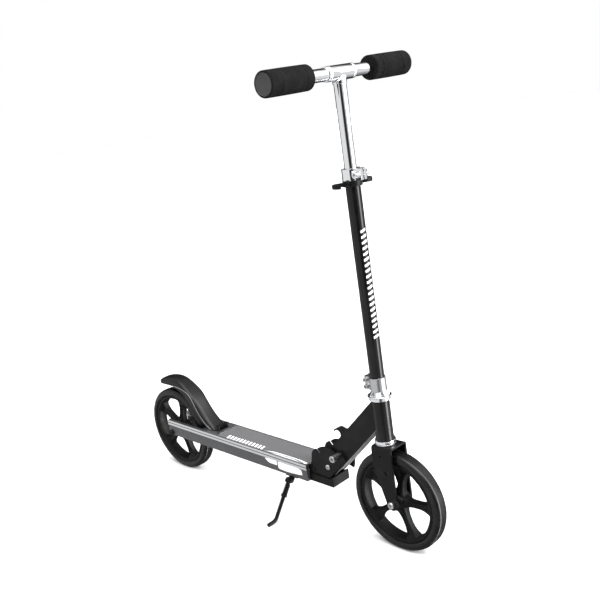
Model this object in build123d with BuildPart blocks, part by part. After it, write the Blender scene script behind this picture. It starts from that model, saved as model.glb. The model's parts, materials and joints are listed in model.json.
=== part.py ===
from build123d import *
import os
from math import cos, radians, sin, sqrt

os.makedirs("parts", exist_ok=True)

# Folding kick scooter with two large wheels, a rear fender brake and a kickstand.
# Millimetres. +X is the riding direction, +Z is up, and the origin is on the
# ground midway between the two axles. It stands upright on its wheels with the
# kickstand, on the -Y side, touching the ground.

# Driving sizes: the whole scooter
wheelbase = 656.0
wheel_r = 100.0
wheel_w = 30.0
head_tilt = 1.6          # degrees that the steering axis leans back
fork_offset = 17.0       # front axle ahead of the steering axis
bar_half_length = 175.5  # centre to the end of a grip
bar_height = 788.0       # along the steering axis, from the front axle

# Clearances
running_gap = 0.05       # radial gap of a shaft in its bore
face_gap = 0.3           # between faces of pieces that move past each other

# Wheels and axles
tread_flat = 12.0
tyre_seat_r = 84.0
rim_inner_r = 76.0
rim_w = 25.0
spoke_count = 5
spoke_angle = 3.0        # first spoke, above straight ahead
spoke_w = 13.0
spoke_t = 13.0
hub_r = 17.0
hub_w = 33.0
bearing_r = 11.0
bearing_w = 7.0
axle_r = 4.0
axle_head_r = 6.5
axle_head_h = 4.0

# Deck
deck_w = 66.0
deck_bottom = 93.5
deck_top = 130.0
deck_wall = 3.0
deck_floor = 2.5
rail_h = 12.0            # bright band along the top of each side
rail_step = 1.0          # side walls stand in from the band by this much
rail_groove = 1.4
deck_tail = 10.0         # side rails reach this far behind the rear axle
deck_nose = 210.0        # deck ends this far behind the front axle
rib_t = 2.5
wheel_slot_w = 49.0
wheel_slot_gap = 8.0     # from the tyre to the front of the wheel slot
tail_corner_r = 7.0
tape_t = 1.0
tape_inset = 4.0

# Folding joint
pivot_back = 157.5       # behind the front axle
pivot_z = 135.7
neck_angle = 46.0
fold_angle = 84.0
pivot_r = 4.0
plate_t = 3.0
plate_gap = 37.0         # between the two bracket plates
lobe_r = 42.6
lock_seat = 46.0         # lock rod's distance from the pivot
lock_rod_r = 3.0
lock_travel = 8.0
lock_nut_r = 7.0
lock_nut_l = 20.0

# Cam levers
lever_w = 11.0
lever_pin_out = 7.0      # pin's distance from the face the cam presses on
lever_pin_r = 2.0
cam_r = 5.5

# Block in the deck's nose
block_w = 48.0
block_top = 110.0
block_nose = 147.0       # front of the block, behind the front axle
block_insert = 42.0
block_wall = 3.5
block_screw_r = 2.0
block_screw_l = 9.0
block_screw_head_h = 1.6
lip_h = 4.0

# Neck and head tube
neck_w = 32.0
neck_up = 23.5
neck_down = 20.0
neck_wall = 2.5
latch_t = 4.0
head_tube_r = 17.0
head_tube_wall = 2.5
head_tube_l = 80.0
cup_r = 20.0
cup_h = 5.5
cup_depth = 8.0

# Fork and steering column
crown_top = 114.0
fork_t = 4.0
fork_inner_w = 40.0
fork_front = 28.9        # ahead of the steering axis
fork_back = 16.8
fork_end_r = 12.0
fork_bend = 6.0
race_h = 3.0
steerer_r = 11.0
tube_wall = 2.0
dust_cover_r = 22.5
dust_cover_h = 10.5
sleeve_l = 26.0
sleeve_wall = 2.0
stem_r = 13.5
stem_top = 627.0
clamp_h = 19.0
clamp_wall = 3.5
clamp_slit = 2.4
clip_h = 10.0
clip_wall = 4.0
clip_ring_r = 15.0
clip_ring_t = 3.6

# Handlebar
inner_stem_l = 346.0
tee_r = 13.0
tee_half_l = 34.0
tee_socket = 18.0
tee_socket_wall = 1.5
grip_r = 21.5
grip_l = 97.0
grip_edge_r = 2.5
cap_r = 18.5
cap_t = 3.5

# Fender brake
fender_w = 38.0
fender_t = 2.6
fender_hinge_x = 152.0   # ahead of the rear axle
fender_hinge_z = 138.0
fender_pin_r = 3.0
brake_w = 24.0
brake_gap = 5.0          # from the tyre to the brake block

# Kickstand
kick_x = 67.0            # pivot, ahead of the middle of the scooter
kick_y = -37.0
kick_z = 85.0
kick_r = 4.0
kick_bend_x = 50.0
kick_bend_y = -75.0
kick_foot_l = 21.0
kick_eye_r = 7.0
kick_eye_t = 8.2
kick_bolt_r = 3.0
kick_plate_t = 3.0

# Small screws
screw_head_r = 3.0
screw_head_h = 1.8
screw_r = 1.75
screw_l = 5.0

# Places worked out from the sizes above
rear_x = -wheelbase / 2
front_x = wheelbase / 2
lean = radians(head_tilt)
rear_hub = Plane(origin=(rear_x, 0, wheel_r), x_dir=(1, 0, 0), z_dir=(0, -1, 0))
front_hub = Plane(origin=(front_x, 0, wheel_r), x_dir=(1, 0, 0), z_dir=(0, -1, 0))
steer_foot = (front_x - fork_offset * cos(lean), 0, wheel_r - fork_offset * sin(lean))
steer = Plane(origin=steer_foot, x_dir=(cos(lean), 0, sin(lean)), z_dir=(-sin(lean), 0, cos(lean)))
steer_side = Plane(origin=steer_foot, x_dir=(cos(lean), 0, sin(lean)), z_dir=(0, -1, 0))
steer_axis = Axis(steer_foot, (-sin(lean), 0, cos(lean)))
pivot_x = front_x - pivot_back
pivot_side = Plane(origin=(pivot_x, 0, pivot_z), x_dir=(1, 0, 0), z_dir=(0, -1, 0))
neck_dir = (cos(radians(neck_angle)), 0, sin(radians(neck_angle)))
neck_side = Plane(origin=(pivot_x, 0, pivot_z), x_dir=neck_dir, z_dir=(0, -1, 0))
deck_mid = (deck_top + deck_bottom) / 2
deck_h = deck_top - deck_bottom
deck_nose_x = front_x - deck_nose
deck_tail_x = rear_x - deck_tail
slot_front_x = rear_x + wheel_r + wheel_slot_gap
fork_w = fork_inner_w + 2 * fork_t
plate_out = plate_gap / 2 + plate_t

# Seats of the small screws, each with its head on the outside
mount_t = 2.0
mount_seats = [(rear_x + fender_hinge_x - 17, y, deck_top + mount_t) for y in (-8, 8)]
kick_seats = [(kick_x + x, -10, deck_bottom - kick_plate_t) for x in (-9, 13)]
deck_screw_planes = [Plane(origin=seat, z_dir=(0, 0, 1)) for seat in mount_seats]
deck_screw_planes += [Plane(origin=seat, z_dir=(0, 0, -1)) for seat in kick_seats]

# ---- Wheels: the same tyre, core and bearings at both ends ----
for end, hub in (("rear", rear_hub), ("front", front_hub)):
    hub_axis = Axis(hub.origin, (0, 1, 0))
    across = Plane(origin=hub.origin, x_dir=(0, 1, 0), z_dir=(1, 0, 0))

    # Solid tyre with a rounded section that is flat where it meets the ground
    with BuildPart() as tyre:
        with BuildSketch(across):
            with BuildLine():
                side_mid = (wheel_w / 2 + tread_flat / 2) / 2 + 2
                Line((-tread_flat / 2, wheel_r), (tread_flat / 2, wheel_r))
                ThreePointArc((tread_flat / 2, wheel_r), (side_mid, wheel_r - 3.6), (wheel_w / 2, wheel_r - 12))
                Line((wheel_w / 2, wheel_r - 12), (rim_w / 2, tyre_seat_r))
                Line((rim_w / 2, tyre_seat_r), (-rim_w / 2, tyre_seat_r))
                Line((-rim_w / 2, tyre_seat_r), (-wheel_w / 2, wheel_r - 12))
                ThreePointArc((-wheel_w / 2, wheel_r - 12), (-side_mid, wheel_r - 3.6), (-tread_flat / 2, wheel_r))
            make_face()
        revolve(axis=hub_axis)
    tyre.part.label = f"{end}_tyre"
    export_step(tyre.part, f"parts/{end}_tyre.step")

    # Moulded core: rim, five spokes that widen into the rim, and the hub
    with BuildPart() as core:
        with BuildSketch(hub):
            Circle(tyre_seat_r)
            Circle(rim_inner_r, mode=Mode.SUBTRACT)
        extrude(amount=rim_w / 2, both=True)
        with BuildSketch(hub):
            Circle(hub_r)
        extrude(amount=hub_w / 2, both=True)
        with BuildSketch(hub):
            with PolarLocations(0, spoke_count, start_angle=spoke_angle):
                Polygon(
                    (hub_r - 4, -spoke_w * 0.62),
                    (45, -spoke_w / 2),
                    (rim_inner_r + 2, -spoke_w * 0.85),
                    (rim_inner_r + 2, spoke_w * 0.85),
                    (45, spoke_w / 2),
                    (hub_r - 4, spoke_w * 0.62),
                    align=None,
                )
        extrude(amount=spoke_t / 2, both=True)
        with BuildSketch(hub):
            Circle(bearing_r)
        extrude(amount=hub_w / 2, both=True, mode=Mode.SUBTRACT)
    core.part.label = f"{end}_wheel_core"
    export_step(core.part, f"parts/{end}_wheel_core.step")

    # Two ball bearings and the sleeve that keeps them apart
    with BuildPart() as bearings:
        for side in (-1, 1):
            with BuildSketch(hub.offset(side * (hub_w - bearing_w) / 2)):
                Circle(bearing_r)
                Circle(axle_r + running_gap, mode=Mode.SUBTRACT)
            extrude(amount=bearing_w / 2, both=True)
        with BuildSketch(hub):
            Circle(axle_r + 2)
            Circle(axle_r + running_gap, mode=Mode.SUBTRACT)
        extrude(amount=hub_w / 2 - bearing_w - 0.05, both=True)
    bearings.part.label = f"{end}_bearings"
    export_step(bearings.part, f"parts/{end}_bearings.step")

# Each axle is a bolt through both side walls or fork legs, with a nut and two spacers
for end, hub, outer_w, inner_w in (
    ("rear", rear_hub, deck_w - 2 * rail_step, wheel_slot_w),
    ("front", front_hub, fork_w, fork_inner_w),
):
    with BuildPart() as axle:
        with BuildSketch(hub):
            Circle(axle_r)
        extrude(amount=outer_w / 2 + 5, both=True)
        with BuildSketch(hub.offset(outer_w / 2)):
            Circle(axle_head_r)
        extrude(amount=axle_head_h)
        with BuildSketch(hub.offset(outer_w / 2 + axle_head_h)):
            Circle(axle_head_r)
        extrude(amount=1.4, taper=30)
        with BuildSketch(hub.offset(outer_w / 2 + 2.5)):
            RegularPolygon(2.9, 6)
        extrude(amount=6, mode=Mode.SUBTRACT)
    axle.part.label = f"{end}_axle"
    export_step(axle.part, f"parts/{end}_axle.step")

    with BuildPart() as axle_nut:
        with BuildSketch(hub.offset(-outer_w / 2)):
            RegularPolygon(7.4, 6)
            Circle(axle_r, mode=Mode.SUBTRACT)
        extrude(amount=-6)
    axle_nut.part.label = f"{end}_axle_nut"
    export_step(axle_nut.part, f"parts/{end}_axle_nut.step")

    with BuildPart() as spacers:
        for side in (-1, 1):
            with BuildSketch(hub.offset(side * inner_w / 2)):
                Circle(axle_r + 2)
                Circle(axle_r, mode=Mode.SUBTRACT)
            extrude(amount=side * (face_gap - (inner_w - hub_w) / 2))
    spacers.part.label = f"{end}_spacers"
    export_step(spacers.part, f"parts/{end}_spacers.step")

# ---- Deck ----
rail_z = deck_top - rail_h
inner_floor = deck_bottom + deck_floor
inner_roof = deck_top - deck_wall
cavity_h = inner_roof - inner_floor
cavity_mid = (inner_roof + inner_floor) / 2
block_screw_spots = [(deck_nose_x - x, y) for x in (10, 24) for y in (-14, 14)]
side_cavity_w = deck_w / 2 - rail_step - deck_wall - wheel_slot_w / 2 - rib_t

# One hollow extrusion: a wide middle chamber and a slim box rail on each side
with BuildPart() as deck:
    with BuildSketch(Plane.YZ.offset(deck_tail_x)):
        with Locations((0, deck_mid)):
            Rectangle(deck_w - 2 * rail_step, deck_h)
        with Locations((0, deck_top - rail_h / 2)):
            Rectangle(deck_w, rail_h)
        with Locations((0, cavity_mid)):
            Rectangle(wheel_slot_w, cavity_h, mode=Mode.SUBTRACT)
        for side in (-1, 1):
            with Locations((side * (wheel_slot_w / 2 + rib_t + side_cavity_w / 2), cavity_mid)):
                Rectangle(side_cavity_w, cavity_h, mode=Mode.SUBTRACT)
            with Locations((side * deck_w / 2, deck_top - rail_h / 2)):
                Rectangle(rail_groove, rail_groove, mode=Mode.SUBTRACT)
    extrude(amount=deck_nose_x - deck_tail_x)
    # Slot for the rear wheel
    with BuildSketch(Plane.XY.offset(deck_bottom)):
        with Locations(((deck_tail_x + slot_front_x) / 2, 0)):
            Rectangle(slot_front_x - deck_tail_x, wheel_slot_w)
    extrude(amount=deck_h, mode=Mode.SUBTRACT)
    # Rounded lower corners at the tail, and the axle holes
    with BuildSketch(Plane.XZ):
        with Locations((deck_tail_x + tail_corner_r / 2, deck_bottom + tail_corner_r / 2)):
            Rectangle(tail_corner_r, tail_corner_r)
        with Locations((deck_tail_x + tail_corner_r, deck_bottom + tail_corner_r)):
            Circle(tail_corner_r, mode=Mode.SUBTRACT)
    extrude(amount=deck_w, both=True, mode=Mode.SUBTRACT)
    with BuildSketch(rear_hub):
        Circle(axle_r)
    extrude(amount=deck_w, both=True, mode=Mode.SUBTRACT)
    with BuildSketch(Plane.XY.offset(deck_bottom)):
        with Locations(*block_screw_spots):
            Circle(block_screw_r)
    extrude(amount=block_screw_l, mode=Mode.SUBTRACT)
    for plane in deck_screw_planes:
        with BuildSketch(plane):
            Circle(screw_r)
        extrude(amount=-screw_l, mode=Mode.SUBTRACT)
    # Recess for the grip tape
    tape_back_x = rear_x + fender_hinge_x + 16
    with BuildSketch(Plane.XY.offset(deck_top)):
        with Locations(((tape_back_x + deck_nose_x - 2) / 2, 0)):
            Rectangle(deck_nose_x - 2 - tape_back_x, deck_w - 2 * tape_inset)
    extrude(amount=-tape_t, mode=Mode.SUBTRACT)
deck.part.label = "deck_extrusion"
export_step(deck.part, "parts/deck_extrusion.step")

with BuildPart() as tape:
    with BuildSketch(Plane.XY.offset(deck_top)):
        with Locations(((tape_back_x + deck_nose_x - 2) / 2, 0)):
            Rectangle(deck_nose_x - 2 - tape_back_x, deck_w - 2 * tape_inset)
    extrude(amount=-tape_t)
tape.part.label = "grip_tape"
export_step(tape.part, "parts/grip_tape.step")

# ---- Folding joint: block in the deck's nose, with a bracket of two plates on it ----
block_nose_x = front_x - block_nose
insert_w = wheel_slot_w - 2 * face_gap
with BuildPart() as block:
    with BuildSketch(Plane.YZ.offset(deck_nose_x)):
        with Locations((0, (deck_bottom + block_top) / 2)):
            Rectangle(block_w, block_top - deck_bottom)
    extrude(amount=block_nose_x - deck_nose_x)
    with BuildSketch(Plane.YZ.offset(deck_nose_x)):
        with Locations((0, cavity_mid)):
            Rectangle(insert_w, cavity_h - 2 * face_gap)
    extrude(amount=-block_insert)
    with BuildSketch(Plane.YZ.offset(block_nose_x)):
        with Locations((0, block_top + lip_h / 2)):
            Rectangle(block_w, lip_h)
    extrude(amount=-block_wall)
    with BuildSketch(Plane.YZ.offset(deck_nose_x - block_insert)):
        with Locations((0, (deck_bottom + block_top) / 2)):
            Rectangle(block_w - 2 * block_wall, block_top - deck_bottom - 2 * block_wall)
    extrude(amount=block_insert + block_nose_x - deck_nose_x - block_wall, mode=Mode.SUBTRACT)
    with BuildSketch(Plane.XY.offset(deck_bottom)):
        with Locations(*block_screw_spots):
            Circle(block_screw_r)
    extrude(amount=block_screw_l, mode=Mode.SUBTRACT)
block.part.label = "nose_block"
export_step(block.part, "parts/nose_block.step")

# Four screws hold the block in the deck, up through the deck's floor
with BuildPart() as block_screws:
    with BuildSketch(Plane.XY.offset(deck_bottom)):
        with Locations(*block_screw_spots):
            Circle(2 * block_screw_r)
    extrude(amount=-block_screw_head_h)
    with BuildSketch(Plane.XY.offset(deck_bottom)):
        with Locations(*block_screw_spots):
            Circle(block_screw_r)
    extrude(amount=block_screw_l)
block_screws.part.label = "block_screws"
export_step(block_screws.part, "parts/block_screws.step")

foot_z = block_top - pivot_z
rivet_spot = (-40, foot_z + 10)
seat = radians(neck_angle)
horn_wall = lock_rod_r + face_gap + 0.1
horn_in = (lobe_r * cos(seat) + horn_wall * sin(seat), lobe_r * sin(seat) - horn_wall * cos(seat))
horn_out = (52 * cos(seat) + horn_wall * sin(seat), 52 * sin(seat) - horn_wall * cos(seat))
stow = radians(neck_angle + fold_angle)
with BuildPart() as bracket:
    # Plate outline: shoulder, stow notch, round lobe, and the horn that stops the lock rod
    for side in (-1, 1):
        with BuildSketch(pivot_side.offset(side * plate_gap / 2)):
            with BuildLine():
                Polyline((-43, 17), (-51, foot_z), (-1, foot_z), (49.5, 25), (47.5, 28.5), (42.5, 33.5), horn_out, horn_in)
                ThreePointArc(horn_in, (0, lobe_r), (lobe_r * cos(stow), lobe_r * sin(stow)))
                Line((lobe_r * cos(stow), lobe_r * sin(stow)), (-33.5, 30.5))
                ThreePointArc((-33.5, 30.5), (-39.8, 25.0), (-43, 17))
            make_face()
            with Locations(Location((38.5 * cos(stow), 38.5 * sin(stow), 0), neck_angle + fold_angle)):
                Rectangle(11, 5, mode=Mode.SUBTRACT)
            Circle(pivot_r, mode=Mode.SUBTRACT)
            with Locations(rivet_spot):
                Circle(screw_r, mode=Mode.SUBTRACT)
        extrude(amount=side * plate_t)
    # Floor between the plates
    with BuildSketch(Plane.XY.offset(block_top)):
        with Locations((pivot_x - 26, 0)):
            Rectangle(50, plate_gap)
    extrude(amount=plate_t)
bracket.part.label = "fold_bracket"
export_step(bracket.part, "parts/fold_bracket.step")

with BuildPart() as pivot_bolt:
    with BuildSketch(pivot_side.offset(plate_out)):
        Circle(pivot_r)
    extrude(amount=-2 * plate_out - 5)
    with BuildSketch(pivot_side.offset(plate_out)):
        Circle(5.4)
    extrude(amount=3)
    fillet(pivot_bolt.edges().filter_by(GeomType.CIRCLE).sort_by(Axis.Y)[0], 1.2)
    with BuildSketch(pivot_side.offset(plate_out + 1)):
        RegularPolygon(2.4, 6)
    extrude(amount=3, mode=Mode.SUBTRACT)
pivot_bolt.part.label = "pivot_bolt"
export_step(pivot_bolt.part, "parts/pivot_bolt.step")

with BuildPart() as pivot_nut:
    with BuildSketch(pivot_side.offset(-plate_out)):
        RegularPolygon(7, 6)
        Circle(pivot_r, mode=Mode.SUBTRACT)
    extrude(amount=-5)
pivot_nut.part.label = "pivot_nut"
export_step(pivot_nut.part, "parts/pivot_nut.step")

# One rivet on each side holds the bracket's plates to the block's flanks
with BuildPart() as bracket_rivets:
    for side in (-1, 1):
        with BuildSketch(pivot_side.offset(side * plate_out)):
            with Locations(rivet_spot):
                Circle(screw_head_r)
        extrude(amount=side * screw_head_h)
        with BuildSketch(pivot_side.offset(side * plate_out)):
            with Locations(rivet_spot):
                Circle(screw_r)
        extrude(amount=-side * plate_t)
bracket_rivets.part.label = "bracket_rivets"
export_step(bracket_rivets.part, "parts/bracket_rivets.step")

# ---- Neck: a box section that runs from the pivot up to the head tube ----
head_low = crown_top + race_h + face_gap + cup_h
head_high = head_low + head_tube_l
neck_len = (steer_foot[0] - pivot_x) / cos(radians(neck_angle))
latch_slot = (58.0, 104.0)
with BuildPart() as neck:
    with BuildSketch(neck_side):
        with BuildLine():
            Polyline((0, -neck_down), (neck_len + 14, -neck_down), (neck_len + 14, neck_up), (lock_seat + 10, neck_up))
            Line((lock_seat + 10, neck_up), (8, 18.5))
            ThreePointArc((8, 18.5), (-neck_down, 0), (0, -neck_down))
        make_face()
    extrude(amount=neck_w / 2, both=True)
    # Hollow inside, open at the lower end
    with BuildSketch(neck_side):
        with BuildLine():
            Polyline(
                (-neck_down - 5, -neck_down + neck_wall),
                (neck_len + 20, -neck_down + neck_wall),
                (neck_len + 20, neck_up - neck_wall),
                (lock_seat + 8, neck_up - neck_wall),
                (lock_seat - 2, neck_up + 5),
                (-neck_down - 5, neck_up + 5),
                close=True,
            )
        make_face()
    extrude(amount=neck_w / 2 - neck_wall, both=True, mode=Mode.SUBTRACT)
    with BuildSketch(neck_side):
        with Locations((-neck_down / 2, -neck_down + neck_wall / 2)):
            Rectangle(neck_down + 22, neck_wall * 2)
    extrude(amount=neck_w / 2 - neck_wall, both=True, mode=Mode.SUBTRACT)
    # Slot for the lock rod through both side walls, and the slot for the latch in the top wall
    with BuildSketch(neck_side):
        with Locations((lock_seat + lock_travel / 2, 0)):
            SlotOverall(lock_travel + 2 * lock_rod_r + 2 * face_gap, 2 * (lock_rod_r + face_gap))
    extrude(amount=neck_w, both=True, mode=Mode.SUBTRACT)
    with BuildSketch(neck_side):
        with Locations(((latch_slot[0] + latch_slot[1]) / 2, neck_up)):
            Rectangle(latch_slot[1] - latch_slot[0], 4 * neck_wall)
    extrude(amount=latch_t / 2 + face_gap, both=True, mode=Mode.SUBTRACT)
    # The head tube's saddle and everything ahead of it are cut away
    with BuildSketch(steer.offset(-50)):
        Circle(head_tube_r)
        with Locations((40, 0)):
            Rectangle(80, 80)
    extrude(amount=400, mode=Mode.SUBTRACT)
    with BuildSketch(steer.offset(head_high)):
        Circle(cup_r + 4)
    extrude(amount=20, mode=Mode.SUBTRACT)
    # Bore for the pivot bushing
    with BuildSketch(neck_side):
        Circle(pivot_r + 2)
    extrude(amount=neck_w, both=True, mode=Mode.SUBTRACT)
neck.part.label = "neck"
export_step(neck.part, "parts/neck.step")

with BuildPart() as pivot_bush:
    with BuildSketch(pivot_side):
        Circle(pivot_r + 2)
        Circle(pivot_r + running_gap, mode=Mode.SUBTRACT)
    extrude(amount=plate_gap / 2 - face_gap, both=True)
pivot_bush.part.label = "pivot_bushing"
export_step(pivot_bush.part, "parts/pivot_bushing.step")

with BuildPart() as head_tube:
    with BuildSketch(steer.offset(head_low)):
        Circle(head_tube_r)
        Circle(head_tube_r - head_tube_wall, mode=Mode.SUBTRACT)
    extrude(amount=head_tube_l)
head_tube.part.label = "head_tube"
export_step(head_tube.part, "parts/head_tube.step")

# Bearing cups pressed into the head tube, each with its bearing ring
bearing_bore = steerer_r + running_gap
ball_ring_r = 13.0
cup_profile = ((ball_ring_r, 0), (cup_r, 0), (cup_r, cup_h), (head_tube_r - head_tube_wall, cup_h),
               (head_tube_r - head_tube_wall, cup_h + cup_depth), (ball_ring_r, cup_h + cup_depth))
for name, face, way in (("lower", head_low - cup_h, 1), ("upper", head_high + cup_h, -1)):
    cup_side = Plane(origin=steer.offset(face).origin, x_dir=steer.x_dir, z_dir=(0, -1, 0))
    with BuildPart() as cup:
        with BuildSketch(cup_side):
            Polygon(*[(r, way * h) for r, h in cup_profile], align=None)
        revolve(axis=steer_axis)
    cup.part.label = f"{name}_cup"
    export_step(cup.part, f"parts/{name}_cup.step")

with BuildPart() as head_bearings:
    for face in (head_low - cup_h + 0.5, head_high + cup_h - 0.5 - bearing_w):
        with BuildSketch(steer.offset(face)):
            Circle(ball_ring_r)
            Circle(bearing_bore, mode=Mode.SUBTRACT)
        extrude(amount=bearing_w)
head_bearings.part.label = "head_bearings"
export_step(head_bearings.part, "parts/head_bearings.step")

# ---- Latch: a plate that slides along the neck and carries the lock rod ----
with BuildPart() as latch:
    with BuildSketch(neck_side):
        with BuildLine():
            Polyline((36, -7), (97, -7), (97, 12), (93, 18), (93, neck_up + 1), (88, 30))
            Line((88, 30), (81.5, 40.5))
            ThreePointArc((81.5, 40.5), (70, 44.2), (57.5, 46.5))
            Line((57.5, 46.5), (58, 43.2))
            ThreePointArc((58, 43.2), (67.5, 38.5), (62, 27))
            Polyline((62, 27), (61, 18), (52, 9), (36, 9), (36, -7))
        make_face()
    extrude(amount=latch_t / 2, both=True)
    with BuildSketch(neck_side):
        with Locations((lock_seat, 0)):
            Circle(lock_rod_r)
    extrude(amount=latch_t, both=True, mode=Mode.SUBTRACT)
latch.part.label = "latch"
export_step(latch.part, "parts/latch.step")

lock_side = Plane(
    origin=neck_side.from_local_coords((lock_seat, 0, 0)), x_dir=neck_dir, z_dir=(0, -1, 0)
)
fold_lever_dir = Vector(-19, 0, -53).normalized()
fold_lever_pin = Vector(lock_side.origin) + Vector(0, plate_out + lever_pin_out, 0)
fold_lever_plane = Plane(origin=fold_lever_pin, x_dir=fold_lever_dir, z_dir=fold_lever_dir.cross(Vector(0, 1, 0)))
with BuildPart() as lock_rod:
    with BuildSketch(lock_side.offset(-plate_out - lever_pin_out - 4)):
        Circle(lock_rod_r)
    extrude(amount=2 * plate_out + lever_pin_out + lock_nut_l)
    with BuildSketch(fold_lever_plane):
        Circle(lever_pin_r)
    extrude(amount=lever_w, both=True, mode=Mode.SUBTRACT)
lock_rod.part.label = "lock_rod"
export_step(lock_rod.part, "parts/lock_rod.step")

with BuildPart() as lock_nut:
    with BuildSketch(lock_side.offset(plate_out + face_gap)):
        Circle(lock_nut_r)
    extrude(amount=lock_nut_l)
    chamfer(lock_nut.edges().filter_by(GeomType.CIRCLE), 0.8)
    with BuildSketch(lock_side.offset(plate_out + face_gap)):
        Circle(lock_rod_r)
    extrude(amount=lock_nut_l, mode=Mode.SUBTRACT)
lock_nut.part.label = "lock_nut"
export_step(lock_nut.part, "parts/lock_nut.step")

# ---- Fork: one plate bent into an upside-down U ----
fork_w_half = fork_w / 2
with BuildPart() as fork:
    with BuildSketch(steer_side):
        with BuildLine():
            Polyline((fork_offset + fork_end_r, 0), (fork_front, crown_top), (-fork_back, crown_top), (-fork_back, 76))
            Polyline((-fork_back, 76), (-fork_back + 3.4, 60), (fork_offset - fork_end_r, 2))
            ThreePointArc((fork_offset - fork_end_r, 2), (fork_offset, -fork_end_r), (fork_offset + fork_end_r, 0))
        make_face()
    extrude(amount=fork_w_half, both=True)
    top_edges = fork.edges().filter_by(lambda e: e.length > 40 and abs(e.tangent_at(0).Y) < 0.01)
    fillet(top_edges.filter_by(lambda e: e.center().Z > wheel_r + crown_top - 5), fork_bend)
    with BuildSketch(steer.offset(-fork_end_r - 10)):
        Rectangle(200, fork_inner_w)
    extrude(amount=fork_end_r + 10 + crown_top - fork_t, mode=Mode.SUBTRACT)
    with BuildSketch(steer.offset(crown_top)):
        Circle(steerer_r)
    extrude(amount=-fork_t, mode=Mode.SUBTRACT)
    with BuildSketch(steer_side):
        with Locations((fork_offset, 0)):
            Circle(axle_r)
        with Locations((2, 95)):
            Circle(2)
        with Locations(Location((11, 63, 0), 115)):
            SlotOverall(11, 3.4)
    extrude(amount=fork_w, both=True, mode=Mode.SUBTRACT)
fork.part.label = "fork"
export_step(fork.part, "parts/fork.step")

with BuildPart() as crown_race:
    with BuildSketch(steer.offset(crown_top)):
        Circle(cup_r)
        Circle(steerer_r, mode=Mode.SUBTRACT)
    extrude(amount=race_h)
    chamfer(crown_race.edges().filter_by(GeomType.CIRCLE).sort_by(SortBy.LENGTH)[-2:], 0.8)
crown_race.part.label = "crown_race"
export_step(crown_race.part, "parts/crown_race.step")

dust_low = head_high + cup_h + face_gap
sleeve_low = dust_low + dust_cover_h + 0.5
steerer_top = sleeve_low + sleeve_l + 6
with BuildPart() as steerer:
    with BuildSketch(steer.offset(crown_top - fork_t)):
        Circle(steerer_r)
        Circle(steerer_r - tube_wall, mode=Mode.SUBTRACT)
    extrude(amount=steerer_top - crown_top + fork_t)
steerer.part.label = "steerer_tube"
export_step(steerer.part, "parts/steerer_tube.step")

# Bright dust cover with a flange and a cone with six windows
cone_top_r = stem_r + sleeve_wall - 0.5
with BuildPart() as dust_cover:
    with BuildSketch(Plane(origin=steer.offset(dust_low).origin, x_dir=steer.x_dir, z_dir=(0, -1, 0))):
        Polygon(
            (steerer_r, 0), (dust_cover_r - 0.8, 0), (dust_cover_r, 0.8), (dust_cover_r, 2.4), (dust_cover_r - 2.4, 3.6),
            (cone_top_r, dust_cover_h), (steerer_r, dust_cover_h), align=None,
        )
    revolve(axis=steer_axis)
    with BuildSketch(steer.offset(dust_low + 3.6)):
        with PolarLocations(dust_cover_r - 4.5, 6, start_angle=30):
            Polygon((0, -5), (3, -5), (3, 5), (0, 5), (-5.5, 0), align=None)
    extrude(amount=dust_cover_h, mode=Mode.SUBTRACT)
dust_cover.part.label = "dust_cover"
export_step(dust_cover.part, "parts/dust_cover.step")

# Lower clamp: a bright sleeve with two ears behind, drawn together by two bolts
ear_reach = 27.0
ear_bolt = 22.0
sleeve_r = stem_r + sleeve_wall
bolt_heights = (sleeve_low + 6.5, sleeve_low + sleeve_l - 6.5)
with BuildPart() as sleeve:
    with BuildSketch(steer.offset(sleeve_low)):
        Circle(sleeve_r)
        with Locations((-ear_reach / 2 - 5, 0)):
            Rectangle(ear_reach - 10, 15)
        Circle(stem_r, mode=Mode.SUBTRACT)
        with Locations((-ear_reach / 2, 0)):
            Rectangle(ear_reach + 6, clamp_slit, mode=Mode.SUBTRACT)
    extrude(amount=sleeve_l)
    with BuildSketch(steer_side):
        for height in bolt_heights:
            with Locations((-ear_bolt, height)):
                Circle(2.5)
    extrude(amount=30, both=True, mode=Mode.SUBTRACT)
    vertical = sleeve.edges().filter_by(lambda e: abs(e.length - sleeve_l) < 0.01 and e.center().X < steer_foot[0] - 28)
    fillet(vertical.sort_by(Axis.Y)[0], 3)
sleeve.part.label = "lower_clamp"
export_step(sleeve.part, "parts/lower_clamp.step")

with BuildPart() as clamp_bolts:
    for height in bolt_heights:
        with BuildSketch(steer_side.offset(7.5)):
            with Locations((-ear_bolt, height)):
                Circle(2.5)
        extrude(amount=-21)
        with BuildSketch(steer_side.offset(7.5)):
            with Locations((-ear_bolt, height)):
                Circle(4.3)
        extrude(amount=4.5)
        with BuildSketch(steer_side.offset(9)):
            with Locations((-ear_bolt, height)):
                RegularPolygon(2.5, 6)
        extrude(amount=5, mode=Mode.SUBTRACT)
        # Nut on the bolt's far end
        with BuildSketch(steer_side.offset(-7.5)):
            with Locations((-ear_bolt, height)):
                RegularPolygon(4.6, 6)
                Circle(2.6, mode=Mode.SUBTRACT)
        extrude(amount=-4)
clamp_bolts.part.label = "clamp_bolts"
export_step(clamp_bolts.part, "parts/clamp_bolts.step")

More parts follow.
